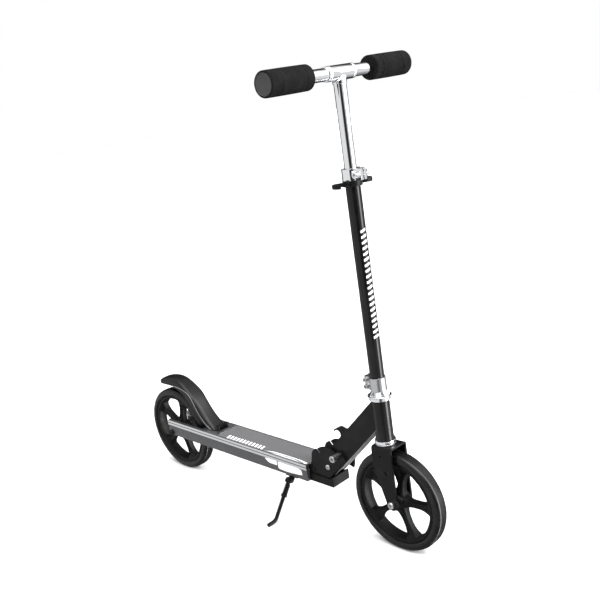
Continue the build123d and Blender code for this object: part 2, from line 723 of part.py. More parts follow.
# ---- Outer stem and what is clamped round its top ----
with BuildPart() as outer_stem:
    with BuildSketch(steer.offset(sleeve_low)):
        Circle(stem_r)
        Circle(steerer_r + running_gap, mode=Mode.SUBTRACT)
    extrude(amount=stem_top - sleeve_low)
    # Relief slits, so that each clamp can close
    for low, reach, way in ((sleeve_low, sleeve_l, -1), (stem_top - 2 * clamp_h, 2 * clamp_h, 1)):
        with BuildSketch(steer.offset(low)):
            with Locations((way * stem_r, 0)):
                Rectangle(stem_r, clamp_slit)
        extrude(amount=reach, mode=Mode.SUBTRACT)
outer_stem.part.label = "outer_stem"
export_step(outer_stem.part, "parts/outer_stem.step")

collar_r = stem_r + clamp_wall
collar_low = stem_top - clamp_h
upper_bolt = 21.5
collar_mid = collar_low + clamp_h / 2
with BuildPart() as upper_clamp:
    with BuildSketch(steer.offset(collar_low)):
        Circle(collar_r)
        with Locations((stem_r + 6.5, 0)):
            Rectangle(15, 15)
        Circle(stem_r, mode=Mode.SUBTRACT)
        with Locations((stem_r + 6.5, 0)):
            Rectangle(24, clamp_slit, mode=Mode.SUBTRACT)
    extrude(amount=clamp_h + 1)
    with BuildSketch(steer_side):
        with Locations((upper_bolt, collar_mid)):
            Circle(lock_rod_r)
    extrude(amount=30, both=True, mode=Mode.SUBTRACT)
upper_clamp.part.label = "upper_clamp"
export_step(upper_clamp.part, "parts/upper_clamp.step")

upper_bolt_at = steer_side.from_local_coords((upper_bolt, collar_mid, 0))
upper_side = Plane(origin=upper_bolt_at, x_dir=steer.x_dir, z_dir=(0, -1, 0))
clamp_lever_dir = Vector(steer.x_dir) * -1
clamp_lever_pin = Vector(upper_bolt_at) + Vector(0, 7.5 + lever_pin_out, 0)
clamp_lever_plane = Plane(origin=clamp_lever_pin, x_dir=clamp_lever_dir, z_dir=clamp_lever_dir.cross(Vector(0, 1, 0)))
with BuildPart() as clamp_rod:
    with BuildSketch(upper_side.offset(16)):
        Circle(lock_rod_r)
    extrude(amount=-16 - 7.5 - lever_pin_out - 4)
    with BuildSketch(clamp_lever_plane):
        Circle(lever_pin_r)
    extrude(amount=lever_w, both=True, mode=Mode.SUBTRACT)
clamp_rod.part.label = "clamp_rod"
export_step(clamp_rod.part, "parts/clamp_rod.step")

with BuildPart() as clamp_barrel:
    with BuildSketch(upper_side.offset(7.5)):
        Circle(6)
    extrude(amount=10.5)
    chamfer(clamp_barrel.edges().filter_by(GeomType.CIRCLE), 0.7)
    with BuildSketch(upper_side.offset(7.5)):
        Circle(lock_rod_r)
    extrude(amount=10.5, mode=Mode.SUBTRACT)
clamp_barrel.part.label = "clamp_barrel"
export_step(clamp_barrel.part, "parts/clamp_barrel.step")

# Cam levers on the far side of both rods. Each is drawn lying closed along its own +x,
# swings out towards +y, and turns on a pin across the rod's end.
fold_handle = ((0, -cam_r), (30, -2.6), (54, 1.6), (56, 4.6), (52, 6.6), (28, 1.8), (0, cam_r))
clamp_handle = ((0, -cam_r), (7, -2.6), (13, 2.2), (24, 5.6), (38, 3.4), (39.5, 5.4), (38, 7.4), (24, 9.8), (11, 6.6), (0, cam_r))
for name, plane, handle in (("fold", fold_lever_plane, fold_handle), ("clamp", clamp_lever_plane, clamp_handle)):
    with BuildPart() as lever:
        with BuildSketch(plane):
            with BuildLine():
                Polyline(*handle)
                ThreePointArc((0, cam_r), (-cam_r, 0), (0, -cam_r))
            make_face()
        extrude(amount=lever_w / 2, both=True)
        with BuildSketch(plane):
            Circle(lever_pin_r + running_gap)
        extrude(amount=lever_w, both=True, mode=Mode.SUBTRACT)
        # Fork in the cam for the rod's end
        with BuildSketch(plane):
            with Locations((-1, 0)):
                Rectangle(2 * cam_r + 4.5, 30)
        extrude(amount=lock_rod_r + face_gap, both=True, mode=Mode.SUBTRACT)
    lever.part.label = f"{name}_lever"
    export_step(lever.part, f"parts/{name}_lever.step")

    with BuildPart() as lever_pin:
        with BuildSketch(plane):
            Circle(lever_pin_r)
        extrude(amount=lever_w / 2, both=True)
    lever_pin.part.label = f"{name}_lever_pin"
    export_step(lever_pin.part, f"parts/{name}_lever_pin.step")

# Plastic collar with two open hooks that hold the grips when they are taken off
clip_r = stem_r + clip_wall
clip_centre = clip_r + clip_ring_r - 1.5
with BuildPart() as grip_clips:
    with BuildSketch(steer.offset(collar_low - face_gap - clip_h)):
        Circle(clip_r)
        Circle(stem_r, mode=Mode.SUBTRACT)
    extrude(amount=clip_h)
    for side in (-1, 1):
        ring_in = clip_ring_r - clip_ring_t
        with BuildSketch(steer.offset(collar_low - face_gap - clip_h + 1.5)):
            with Locations((0, side * clip_centre)):
                Circle(clip_ring_r)
                Circle(ring_in, mode=Mode.SUBTRACT)
            # The ring is open towards the front on one side and the back on the other
            with Locations((-side * clip_ring_r * 0.75, side * (clip_centre + 1))):
                Rectangle(clip_ring_r * 1.1, clip_ring_r * 1.3, mode=Mode.SUBTRACT)
            Circle(stem_r, mode=Mode.SUBTRACT)
        extrude(amount=clip_h - 3)
grip_clips.part.label = "grip_clips"
export_step(grip_clips.part, "parts/grip_clips.step")

# ---- Handlebar: inner stem, tee and two bar tubes with foam grips ----
inner_top = bar_height - steerer_r - 0.5
with BuildPart() as inner_stem:
    with BuildSketch(steer.offset(inner_top)):
        Circle(steerer_r)
        Circle(steerer_r - tube_wall, mode=Mode.SUBTRACT)
    extrude(amount=-inner_stem_l)
inner_stem.part.label = "inner_stem"
export_step(inner_stem.part, "parts/inner_stem.step")

bar_side = Plane(origin=steer.offset(bar_height).origin, x_dir=steer.x_dir, z_dir=(0, -1, 0))
with BuildPart() as tee:
    with BuildSketch(bar_side):
        Circle(tee_r)
    extrude(amount=tee_half_l, both=True)
    with BuildSketch(steer.offset(bar_height - tee_socket)):
        Circle(steerer_r + tee_socket_wall)
    extrude(amount=tee_socket)
    with BuildSketch(bar_side):
        Circle(steerer_r)
    extrude(amount=tee_half_l, both=True, mode=Mode.SUBTRACT)
    with BuildSketch(steer.offset(bar_height - tee_socket)):
        Circle(steerer_r)
    extrude(amount=tee_socket - 5, mode=Mode.SUBTRACT)
tee.part.label = "handlebar_tee"
export_step(tee.part, "parts/handlebar_tee.step")

with BuildPart() as bar_tubes:
    for side in (-1, 1):
        with BuildSketch(bar_side.offset(side * 3)):
            Circle(steerer_r)
            Circle(steerer_r - tube_wall, mode=Mode.SUBTRACT)
        extrude(amount=side * (bar_half_length - cap_t - 3))
bar_tubes.part.label = "bar_tubes"
export_step(bar_tubes.part, "parts/bar_tubes.step")

for name, side in (("left", -1), ("right", 1)):
    outward = bar_side.offset(side * bar_half_length)
    with BuildPart() as grip:
        with BuildSketch(outward):
            Circle(grip_r)
        extrude(amount=-side * grip_l)
        fillet(grip.edges().filter_by(GeomType.CIRCLE), grip_edge_r)
        with BuildSketch(outward):
            Circle(steerer_r)
        extrude(amount=-side * grip_l, mode=Mode.SUBTRACT)
        with BuildSketch(outward):
            Circle(cap_r)
        extrude(amount=-side * cap_t, mode=Mode.SUBTRACT)
    grip.part.label = f"{name}_grip"
    export_step(grip.part, f"parts/{name}_grip.step")

with BuildPart() as end_caps:
    for side in (-1, 1):
        with BuildSketch(bar_side.offset(side * bar_half_length)):
            Circle(cap_r)
        extrude(amount=-side * cap_t)
end_caps.part.label = "end_caps"
export_step(end_caps.part, "parts/end_caps.step")

# ---- Fender brake over the rear wheel ----
crown_line = ((-49, 217), (-28, 229.5), (2, 234), (30, 231.5), (57, 217), (80, 197.5), (104, 168), (122, 150), (140, 141), (160, 135.5))
skirt_line = ((150, 133), (134, 134), (112, 141), (92, 154), (74, 175), (54, 196), (28, 212), (-4, 219.5), (-30, 218.5), (-47, 213))


def fender_points(line, inset):
    """Points of a fender line in the side view, moved towards the wheel by the inset."""
    moved = []
    for x, z in line:
        reach = sqrt(x * x + (z - wheel_r) ** 2)
        share = 1 - inset / reach
        moved.append((rear_x + x * share, wheel_r + (z - wheel_r) * share))
    return moved


with BuildPart() as fender:
    # Solid outer form, then the hollow above the tyre
    with BuildSketch(Plane.XZ):
        with BuildLine():
            outer_top = Spline(*fender_points(crown_line, 0))
            outer_low = Spline(*fender_points(skirt_line, 0))
            Line(outer_top @ 1, outer_low @ 0)
            Line(outer_low @ 1, outer_top @ 0)
        make_face()
    extrude(amount=fender_w / 2, both=True)
    with BuildSketch(Plane.XZ):
        with BuildLine():
            inner_top = Spline(*fender_points(crown_line[1:], fender_t))
            inner_low = Spline(*fender_points(((165, 118), (100, 134), (60, 174), (20, 196), (-30, 200)), 0))
            Line(inner_top @ 1, inner_low @ 0)
            Line(inner_low @ 1, inner_top @ 0)
        make_face()
    extrude(amount=fender_w / 2 - fender_t, both=True, mode=Mode.SUBTRACT)
    # Hinge eyes in both skirts
    with BuildSketch(Plane(origin=(rear_x + fender_hinge_x, 0, fender_hinge_z), x_dir=(1, 0, 0), z_dir=(0, -1, 0))):
        Circle(fender_pin_r + 3)
    extrude(amount=fender_w / 2, both=True)
    with BuildSketch(Plane(origin=(rear_x + fender_hinge_x, 0, fender_hinge_z), x_dir=(1, 0, 0), z_dir=(0, -1, 0))):
        Circle(fender_pin_r + 3.6)
    extrude(amount=fender_w / 2 - fender_t - 2, both=True, mode=Mode.SUBTRACT)
    with BuildSketch(Plane(origin=(rear_x + fender_hinge_x, 0, fender_hinge_z), x_dir=(1, 0, 0), z_dir=(0, -1, 0))):
        Circle(fender_pin_r + running_gap)
    extrude(amount=fender_w / 2, both=True, mode=Mode.SUBTRACT)
fender.part.label = "fender"
export_step(fender.part, "parts/fender.step")

# Friction block under the fender, its lower face curved round the tyre
brake_from = radians(40)
brake_to = radians(80)
with BuildPart() as brake_block:
    with BuildSketch(Plane.XZ):
        with BuildLine():
            roof = Spline(*fender_points(crown_line[1:], fender_t + face_gap))
            Line(roof @ 1, (rear_x, wheel_r))
            Line((rear_x, wheel_r), roof @ 0)
        make_face()
        with Locations((rear_x, wheel_r)):
            Circle(wheel_r + brake_gap, mode=Mode.SUBTRACT)
            Polygon(
                (0, 0),
                (200 * cos(brake_from), 200 * sin(brake_from)),
                (200 * cos(brake_to), 200 * sin(brake_to)),
                align=None,
                mode=Mode.INTERSECT,
            )
    extrude(amount=brake_w / 2, both=True)
brake_block.part.label = "brake_block"
export_step(brake_block.part, "parts/brake_block.step")

hinge_side = Plane(origin=(rear_x + fender_hinge_x, 0, fender_hinge_z), x_dir=(1, 0, 0), z_dir=(0, -1, 0))
lug_w = fender_w / 2 - fender_t - 2 - face_gap
with BuildPart() as fender_mount:
    # Foot on the deck with two lugs that stand up inside the fender
    with BuildSketch(Plane.XY.offset(deck_top)):
        with Locations((rear_x + fender_hinge_x - 8, 0)):
            Rectangle(32, 2 * lug_w)
    extrude(amount=mount_t)
    for plane in deck_screw_planes[:2]:
        with BuildSketch(plane):
            Circle(screw_r)
        extrude(amount=-screw_l, mode=Mode.SUBTRACT)
    for side in (-1, 1):
        with BuildSketch(hinge_side.offset(side * lug_w)):
            Circle(fender_pin_r + 2.6)
            with Locations((0, (deck_top - fender_hinge_z) / 2)):
                Rectangle(2 * (fender_pin_r + 2.6), fender_hinge_z - deck_top)
            Circle(fender_pin_r, mode=Mode.SUBTRACT)
        extrude(amount=-side * 3)
fender_mount.part.label = "fender_mount"
export_step(fender_mount.part, "parts/fender_mount.step")

with BuildPart() as fender_pin:
    with BuildSketch(hinge_side):
        Circle(fender_pin_r)
    extrude(amount=fender_w / 2 - 0.5, both=True)
fender_pin.part.label = "fender_pin"
export_step(fender_pin.part, "parts/fender_pin.step")

with BuildPart() as fender_spring:
    with BuildSketch(hinge_side):
        Circle(fender_pin_r + 1.8)
        Circle(fender_pin_r + 0.2, mode=Mode.SUBTRACT)
    extrude(amount=lug_w - 4, both=True)
fender_spring.part.label = "fender_spring"
export_step(fender_spring.part, "parts/fender_spring.step")

# ---- Kickstand ----
kick_pivot = Vector(kick_x, kick_y, kick_z)
kick_bend = Vector(kick_bend_x, kick_bend_y, kick_r)
kick_dir = (kick_bend - kick_pivot).normalized()
kick_stow_dir = Vector(-1, -0.08, 0).normalized()
kick_axis = kick_dir.cross(kick_stow_dir).normalized()
kick_plane = Plane(origin=kick_pivot, x_dir=kick_dir, z_dir=kick_axis)
with BuildPart() as kick_leg:
    with BuildLine():
        leg_path = FilletPolyline(
            kick_pivot + kick_dir * (kick_eye_r - 1.5), kick_bend, kick_bend + Vector(0, -kick_foot_l, 0), radius=12
        )
    with BuildSketch(Plane(origin=leg_path @ 0, z_dir=leg_path % 0)):
        Circle(kick_r)
    sweep()
    with BuildSketch(kick_plane):
        Circle(kick_eye_r)
    extrude(amount=kick_eye_t / 2, both=True)
    # Collar that the spring stands on
    with BuildSketch(Plane(origin=kick_pivot + kick_dir * 33, z_dir=kick_dir)):
        Circle(6.5)
    extrude(amount=3)
    with BuildSketch(kick_plane):
        Circle(kick_bolt_r + running_gap)
    extrude(amount=kick_eye_t, both=True, mode=Mode.SUBTRACT)
kick_leg.part.label = "kickstand_leg"
export_step(kick_leg.part, "parts/kickstand_leg.step")

with BuildPart() as kick_spring:
    with BuildSketch(Plane(origin=kick_pivot + kick_dir * (kick_eye_r + 0.5), z_dir=kick_dir)):
        Circle(kick_r + 1.9)
        Circle(kick_r + 0.2, mode=Mode.SUBTRACT)
    extrude(amount=33 - kick_eye_r - 0.5)
kick_spring.part.label = "kickstand_spring"
export_step(kick_spring.part, "parts/kickstand_spring.step")

# Bracket: a plate under the deck and a slanted ear square to the pivot bolt
ear_gap = kick_eye_t / 2 + face_gap
with BuildPart() as kick_bracket:
    with BuildSketch(Plane.XY.offset(deck_bottom - kick_plate_t)):
        with Locations((kick_x + 2, -17)):
            Rectangle(34, 28)
    extrude(amount=kick_plate_t)
    with BuildSketch(kick_plane.offset(ear_gap)):
        Circle(kick_eye_r)
        with Locations((-7, 0)):
            Rectangle(14, 2 * kick_eye_r)
    extrude(amount=kick_plate_t)
    with BuildSketch(Plane.XY.offset(deck_bottom)):
        Rectangle(900, 300)
    extrude(amount=40, mode=Mode.SUBTRACT)
    for plane in deck_screw_planes[2:]:
        with BuildSketch(plane):
            Circle(screw_r)
        extrude(amount=-screw_l, mode=Mode.SUBTRACT)
    with BuildSketch(kick_plane.offset(ear_gap)):
        Circle(kick_bolt_r)
    extrude(amount=kick_plate_t, mode=Mode.SUBTRACT)
kick_bracket.part.label = "kickstand_bracket"
export_step(kick_bracket.part, "parts/kickstand_bracket.step")

with BuildPart() as kick_bolt:
    with BuildSketch(kick_plane.offset(-kick_eye_t / 2 - face_gap)):
        Circle(kick_bolt_r)
    extrude(amount=kick_eye_t / 2 + face_gap + ear_gap + kick_plate_t)
    with BuildSketch(kick_plane.offset(-kick_eye_t / 2 - face_gap)):
        Circle(5.2)
    extrude(amount=-3)
kick_bolt.part.label = "kickstand_bolt"
export_step(kick_bolt.part, "parts/kickstand_bolt.step")

# Round-headed screws, all alike: two in the fender mount's foot and two in the
# kickstand bracket
with BuildPart() as deck_screws:
    for plane in deck_screw_planes:
        with BuildSketch(plane):
            Circle(screw_head_r)
        extrude(amount=screw_head_h)
        with BuildSketch(plane):
            Circle(screw_r)
        extrude(amount=-screw_l)
deck_screws.part.label = "deck_screws"
export_step(deck_screws.part, "parts/deck_screws.step")
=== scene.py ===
import json
from math import cos, pi, radians, sin

import bmesh
import bpy
import numpy as np
from mathutils import Matrix, Vector


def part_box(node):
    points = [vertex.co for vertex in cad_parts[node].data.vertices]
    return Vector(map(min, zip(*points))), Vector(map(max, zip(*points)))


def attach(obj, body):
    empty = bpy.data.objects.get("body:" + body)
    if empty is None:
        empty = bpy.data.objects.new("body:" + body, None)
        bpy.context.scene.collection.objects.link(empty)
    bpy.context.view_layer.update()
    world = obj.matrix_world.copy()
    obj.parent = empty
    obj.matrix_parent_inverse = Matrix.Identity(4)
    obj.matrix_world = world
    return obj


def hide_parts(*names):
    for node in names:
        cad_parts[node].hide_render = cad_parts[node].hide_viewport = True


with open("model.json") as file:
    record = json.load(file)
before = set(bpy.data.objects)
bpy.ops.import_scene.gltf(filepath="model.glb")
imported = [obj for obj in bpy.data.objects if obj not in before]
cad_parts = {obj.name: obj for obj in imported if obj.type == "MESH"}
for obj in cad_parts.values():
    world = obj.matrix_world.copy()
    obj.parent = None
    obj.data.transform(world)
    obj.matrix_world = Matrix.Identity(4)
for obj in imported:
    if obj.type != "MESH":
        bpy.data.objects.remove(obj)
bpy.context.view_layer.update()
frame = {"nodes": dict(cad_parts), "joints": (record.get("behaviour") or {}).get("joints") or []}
nodes = frame["nodes"]
print("frame loaded:", len(nodes), "nodes")

# Axes, pivots and wheel centres, all read from the frame's joints
joints = {j["name"]: j for j in frame["joints"]}
steerFoot = np.array(joints["steer"]["pos_m"])
steerUp = np.array(joints["steer"]["axis"])
steerOut = np.array([steerUp[2], 0.0, -steerUp[0]])
foldPivot = np.array(joints["fold"]["pos_m"])
neckDir = np.array(joints["lock_slide"]["axis"])
across = np.array([0.0, 1.0, 0.0])
vertical = np.array([0.0, 0.0, 1.0])
wheelCentres = {end: np.array(joints[end + "_wheel_spin"]["pos_m"]) for end in ("rear", "front")}
rearX = wheelCentres["rear"][0]
mm = 0.001


def gridFaces(rows, cols, closeRows, closeCols):
    # quads between neighbouring grid points, wrapping round where a direction is closed
    r = np.arange(rows if closeRows else rows - 1)[:, None]
    c = np.arange(cols if closeCols else cols - 1)[None, :]
    r2, c2 = (r + 1) % rows, (c + 1) % cols
    return np.stack([r * cols + c, r2 * cols + c, r2 * cols + c2, r * cols + c2], -1).reshape(-1, 4)


def makePiece(name, grids, material, sharpAngle=38, weld=2e-6, sliver=1e-7):
    # grids are (points, closeRows, closeCols); their poles and seams are welded and faces turned outwards
    points, faces, base = [], [], 0
    for grid, closeRows, closeCols in grids:
        rows, cols = grid.shape[:2]
        points.append(grid.reshape(-1, 3))
        faces.append(gridFaces(rows, cols, closeRows, closeCols) + base)
        base += rows * cols
    mesh = bpy.data.meshes.new(name)
    mesh.from_pydata(np.concatenate(points).tolist(), [], np.concatenate(faces).tolist())
    bm = bmesh.new()
    bm.from_mesh(mesh)
    bmesh.ops.remove_doubles(bm, verts=bm.verts, dist=weld)
    bmesh.ops.dissolve_degenerate(bm, edges=bm.edges, dist=sliver)
    bmesh.ops.recalc_face_normals(bm, faces=bm.faces)
    bm.to_mesh(mesh)
    bm.free()
    mesh.polygons.foreach_set("use_smooth", np.ones(len(mesh.polygons), dtype=bool))
    mesh.set_sharp_from_angle(angle=radians(sharpAngle))
    mesh.materials.append(material)
    piece = bpy.data.objects.new(name, mesh)
    bpy.context.scene.collection.objects.link(piece)
    return piece


def frameOf(axis):
    # two unit directions square to the axis; an axis that runs nearly across is crossed with the vertical
    nearlyAcross = 0.9
    axis = axis / np.linalg.norm(axis)
    first = np.cross(axis, across if abs(axis[1]) < nearlyAcross else vertical)
    first /= np.linalg.norm(first)
    return first, np.cross(axis, first), axis


def lathe(profile, origin, axis, steps=96):
    # profile rows are (radius, height): point = origin + height * axis + radius * (cos a, sin a) across it
    profile = np.asarray(profile, dtype=float)
    first, second, axis = frameOf(np.asarray(axis, dtype=float))
    angle = np.linspace(0, 2 * pi, steps, endpoint=False)[None, :, None]
    radius, height = profile[:, 0][:, None, None], profile[:, 1][:, None, None]
    return np.asarray(origin) + height * axis + radius * (np.cos(angle) * first + np.sin(angle) * second)


def softCorners(profile, size, closed=False, steps=4):
    # each corner p is replaced by the curve (1 - t)^2 start + 2 t (1 - t) p + t^2 end, whose ends lie size
    # away from it on its two edges, or the given share of a short edge
    share = 0.45
    p = np.asarray(profile, dtype=float)
    before, after = np.roll(p, 1, 0), np.roll(p, -1, 0)
    lenBefore = np.linalg.norm(before - p, axis=1)[:, None] + 1e-12
    lenAfter = np.linalg.norm(after - p, axis=1)[:, None] + 1e-12
    start = p + (before - p) * np.minimum(size / lenBefore, share)
    end = p + (after - p) * np.minimum(size / lenAfter, share)
    t = np.linspace(0, 1, steps)[None, :, None]
    curve = (1 - t) ** 2 * start[:, None] + 2 * t * (1 - t) * p[:, None] + t ** 2 * end[:, None]
    if closed:
        return curve.reshape(-1, p.shape[1])
    return np.concatenate([p[:1], curve[1:-1].reshape(-1, p.shape[1]), p[-1:]])


def throughPoints(points, count):
    # Catmull-Rom curve through the points, evaluated at evenly spaced parameters
    p = np.asarray(points, dtype=float)
    p = np.concatenate([2 * p[:1] - p[1:2], p, 2 * p[-1:] - p[-2:-1]])
    t = np.linspace(0, len(p) - 3 - 1e-9, count)
    i, f = t.astype(int), (t % 1)[:, None]
    a, b, c, d = p[i], p[i + 1], p[i + 2], p[i + 3]
    return 0.5 * (2 * b + (c - a) * f + (2 * a - 5 * b + 4 * c - d) * f ** 2 + (3 * b - a - 3 * c + d) * f ** 3)


def sweep(path, radius, sides=16):
    # circles carried along the path: point = path + radius * (cos a * first + sin a * second), where first
    # and second are square to the path; both ends are drawn to a point
    nearlyAcross, slanted = 0.95, np.array([0.31, 0.05, 0.95])
    path = np.asarray(path, dtype=float)
    tangent = np.gradient(path, axis=0)
    tangent /= np.linalg.norm(tangent, axis=1)[:, None]
    guide = across if abs(tangent[:, 1]).max() < nearlyAcross else slanted
    first = np.cross(tangent, guide)
    first /= np.linalg.norm(first, axis=1)[:, None]
    second = np.cross(tangent, first)
    angle = np.linspace(0, 2 * pi, sides, endpoint=False)[None, :, None]
    ring = path[:, None] + radius * (np.cos(angle) * first[:, None] + np.sin(angle) * second[:, None])
    ends = [np.repeat(path[k][None, None], sides, 1) for k in (0, -1)]
    return np.concatenate([ends[0], ring, ends[1]])


def smoothStep(x, low, high):
    # 3 t^2 - 2 t^3, where t is x's share of the way from low to high
    t = np.clip((x - low) / (high - low), 0, 1)
    return t * t * (3 - 2 * t)


def addNode(tree, kind, links, settings):
    # a node whose sockets are linked, or set where a plain value is given
    made = tree.nodes.new(kind)
    for key, value in settings.items():
        setattr(made, key, value)
    for key, value in dict(links).items():
        if isinstance(value, bpy.types.NodeSocket):
            tree.links.new(value, made.inputs[key])
        else:
            made.inputs[key].default_value = value
    return made


class Finish:
    # a node material, with short calls for the nodes that every finish here uses
    def __init__(self, name, color, roughness, metallic=0.0, coat=0.0, coatRoughness=0.1, specular=0.5):
        self.material = bpy.data.materials.new(name)
        self.material.use_nodes = True
        self.tree = self.material.node_tree
        self.shader = self.tree.nodes["Principled BSDF"]
        self.shader.inputs["Base Color"].default_value = (*color, 1)
        self.shader.inputs["Roughness"].default_value = roughness
        self.shader.inputs["Metallic"].default_value = metallic
        self.shader.inputs["Coat Weight"].default_value = coat
        self.shader.inputs["Coat Roughness"].default_value = coatRoughness
        self.shader.inputs["Specular IOR Level"].default_value = specular
        self.coords = self.tree.nodes.new("ShaderNodeTexCoord").outputs["Object"]

    def node(self, kind, links=(), **settings):
        return addNode(self.tree, kind, links, settings)

    def mapped(self, scale):
        return self.node("ShaderNodeMapping", {"Vector": self.coords, "Scale": scale}).outputs[0]

    def noise(self, scale, detail=4, roughness=0.55, vector=None):
        links = {"Vector": vector or self.coords, "Scale": scale, "Detail": detail, "Roughness": roughness}
        return self.node("ShaderNodeTexNoise", links).outputs["Fac"]

    def spread(self, value, low, high, outLow=0.0, outHigh=1.0):
        links = {"Value": value, "From Min": low, "From Max": high, "To Min": outLow, "To Max": outHigh}
        return self.node("ShaderNodeMapRange", links).outputs[0]

    def maths(self, operation, a, b=0.0):
        return self.node("ShaderNodeMath", {0: a, 1: b}, operation=operation).outputs[0]

    def mix(self, factor, a, b):
        made = self.node("ShaderNodeMix", {"Factor": factor}, data_type="RGBA")
        for socket, value in ((made.inputs[6], a), (made.inputs[7], b)):
            if isinstance(value, bpy.types.NodeSocket):
                self.tree.links.new(value, socket)
            else:
                socket.default_value = (*value, 1)
        return made.outputs[2]

    def part(self, axis):
        return self.node("ShaderNodeSeparateXYZ", {0: self.coords}).outputs[axis]

    def color(self, value):
        self.tree.links.new(value, self.shader.inputs["Base Color"])

    def roughness(self, value):
        self.tree.links.new(value, self.shader.inputs["Roughness"])

    def metallic(self, value):
        self.tree.links.new(value, self.shader.inputs["Metallic"])

    def bumps(self, *layers, edge=0.0):
        # layers are (height, strength, distance); sharp edges are shaded as if rounded to the edge radius
        normal = self.node("ShaderNodeBevel", {"Radius": edge}, samples=4).outputs[0] if edge else None
        for height, strength, distance in layers:
            links = {"Height": height, "Strength": strength, "Distance": distance}
            if normal:
                links["Normal"] = normal
            normal = self.node("ShaderNodeBump", links).outputs[0]
        self.tree.links.new(normal, self.shader.inputs["Normal"])


def gray(value):
    return (value, value, value * 1.03)


def blackPaint(name="blackPaint", shade=0.0035, roughness=0.34, specular=0.15):
    # fine orange peel in the gloss, with a little lighter dust over it
    look = {"peelScale": 900, "peelBump": 0.1, "dustScale": 22, "dustLift": 0.004, "smearScale": 60, "edge": 0.0007}
    f = Finish(name, gray(shade), roughness, specular=specular)
    dust = f.spread(f.noise(look["dustScale"], 6), 0.45, 0.75)
    f.color(f.mix(dust, gray(shade), gray(shade + look["dustLift"])))
    f.roughness(f.spread(f.noise(look["smearScale"], 5), 0.3, 0.7, roughness - 0.05, roughness + 0.08))
    f.bumps((f.noise(look["peelScale"], 2), look["peelBump"], 0.0004), edge=look["edge"])
    return f.material


def chrome():
    # mirror plating with long faint smears
    look = {"tint": (0.86, 0.87, 0.89), "roughness": 0.045, "smear": 0.05, "smearScale": 40, "waveScale": 260}
    f = Finish("chrome", look["tint"], look["roughness"], metallic=1.0)
    smear = f.noise(look["smearScale"], 5, vector=f.mapped((1, 1, 0.15)))
    f.roughness(f.spread(smear, 0.4, 0.75, look["roughness"], look["roughness"] + look["smear"]))
    f.bumps((f.noise(look["waveScale"], 2), 0.03, 0.0003), edge=0.0005)
    return f.material


def shadeOf(color, share):
    return tuple(share * channel for channel in color)


def brushedMetal(name, tint, roughness, stretch):
    # fine grain, stretched by the mapping, in colour, gloss and bump alike
    look = {"grainScale": 60, "grainShade": 0.86, "grainBump": 0.08, "edge": 0.0005}
    f = Finish(name, tint, roughness, metallic=1.0)
    lines = f.noise(look["grainScale"], 8, 0.7, vector=f.mapped(stretch))
    f.color(f.mix(f.spread(lines, 0.3, 0.7), shadeOf(tint, look["grainShade"]), tint))
    f.roughness(f.spread(lines, 0.25, 0.75, roughness - 0.06, roughness + 0.12))
    f.bumps((lines, look["grainBump"], 0.0003), edge=look["edge"])
    return f.material


def deckMetal():
    # bright head band along the top of each side, with a painted shadow along the groove in it; dark grey web and
    # underside below it
    look = {"bandLow": 0.1182, "groove": 0.124, "halfGroove": 0.0006, "bright": (0.8, 0.81, 0.83),
            "web": (0.075, 0.075, 0.08), "roughness": 0.27, "grainScale": 50, "grainBump": 0.08, "edge": 0.0005,
            "grooveShade": (0.03, 0.03, 0.03)}
    f = Finish("deckMetal", look["bright"], look["roughness"], metallic=1.0)
    lines = f.noise(look["grainScale"], 8, 0.7, vector=f.mapped((1, 45, 45)))
    band = f.spread(f.part(2), look["bandLow"] - 0.0003, look["bandLow"] + 0.0001)
    bright = f.mix(f.spread(lines, 0.3, 0.7), shadeOf(look["bright"], 0.85), look["bright"])
    web = f.mix(f.spread(lines, 0.3, 0.7), shadeOf(look["web"], 0.8), look["web"])
    # the groove is painted near black: a painted shadow standing in for the shade in the recess
    fromGroove = f.maths("ABSOLUTE", f.maths("SUBTRACT", f.part(2), look["groove"]))
    groove = f.spread(fromGroove, look["halfGroove"], look["halfGroove"] * 1.6)
    f.color(f.mix(band, web, f.mix(groove, look["grooveShade"], bright)))
    f.metallic(f.spread(band, 0, 1, 0.35, 1.0))
    f.roughness(f.spread(lines, 0.25, 0.75, look["roughness"] - 0.05, look["roughness"] + 0.13))
    f.bumps((lines, look["grainBump"], 0.0003), edge=look["edge"])
    return f.material


def neckMetal():
    # black paint all over but for the bare underside, which is found by its place square to the neck
    look = {"down": -0.0197, "paint": 0.0045, "dustLift": 0.004, "bare": (0.6, 0.6, 0.62),
            "bareDark": (0.42, 0.42, 0.44), "bareMetal": 0.7}
    f = Finish("neckMetal", gray(look["paint"]), 0.36, specular=0.16)
    neckUp = (-float(neckDir[2]), 0.0, float(neckDir[0]))
    offset = float(np.dot(foldPivot, neckUp))
    height = f.node("ShaderNodeVectorMath", {0: f.coords, 1: neckUp}, operation="DOT_PRODUCT").outputs["Value"]
    bare = f.spread(f.maths("SUBTRACT", height, offset), look["down"] + 0.0002, look["down"])
    speckle = f.spread(f.noise(700, 3), 0.35, 0.65)
    silver = f.mix(speckle, look["bareDark"], look["bare"])
    dust = f.spread(f.noise(22, 6), 0.45, 0.75)
    paint = f.mix(dust, gray(look["paint"]), gray(look["paint"] + look["dustLift"]))
    f.color(f.mix(bare, paint, silver))
    f.metallic(f.maths("MULTIPLY", bare, look["bareMetal"]))
    f.roughness(f.spread(f.noise(60, 5), 0.3, 0.7, 0.32, 0.46))
    f.bumps((f.noise(900, 2), 0.12, 0.0004), edge=0.0008)
    return f.material


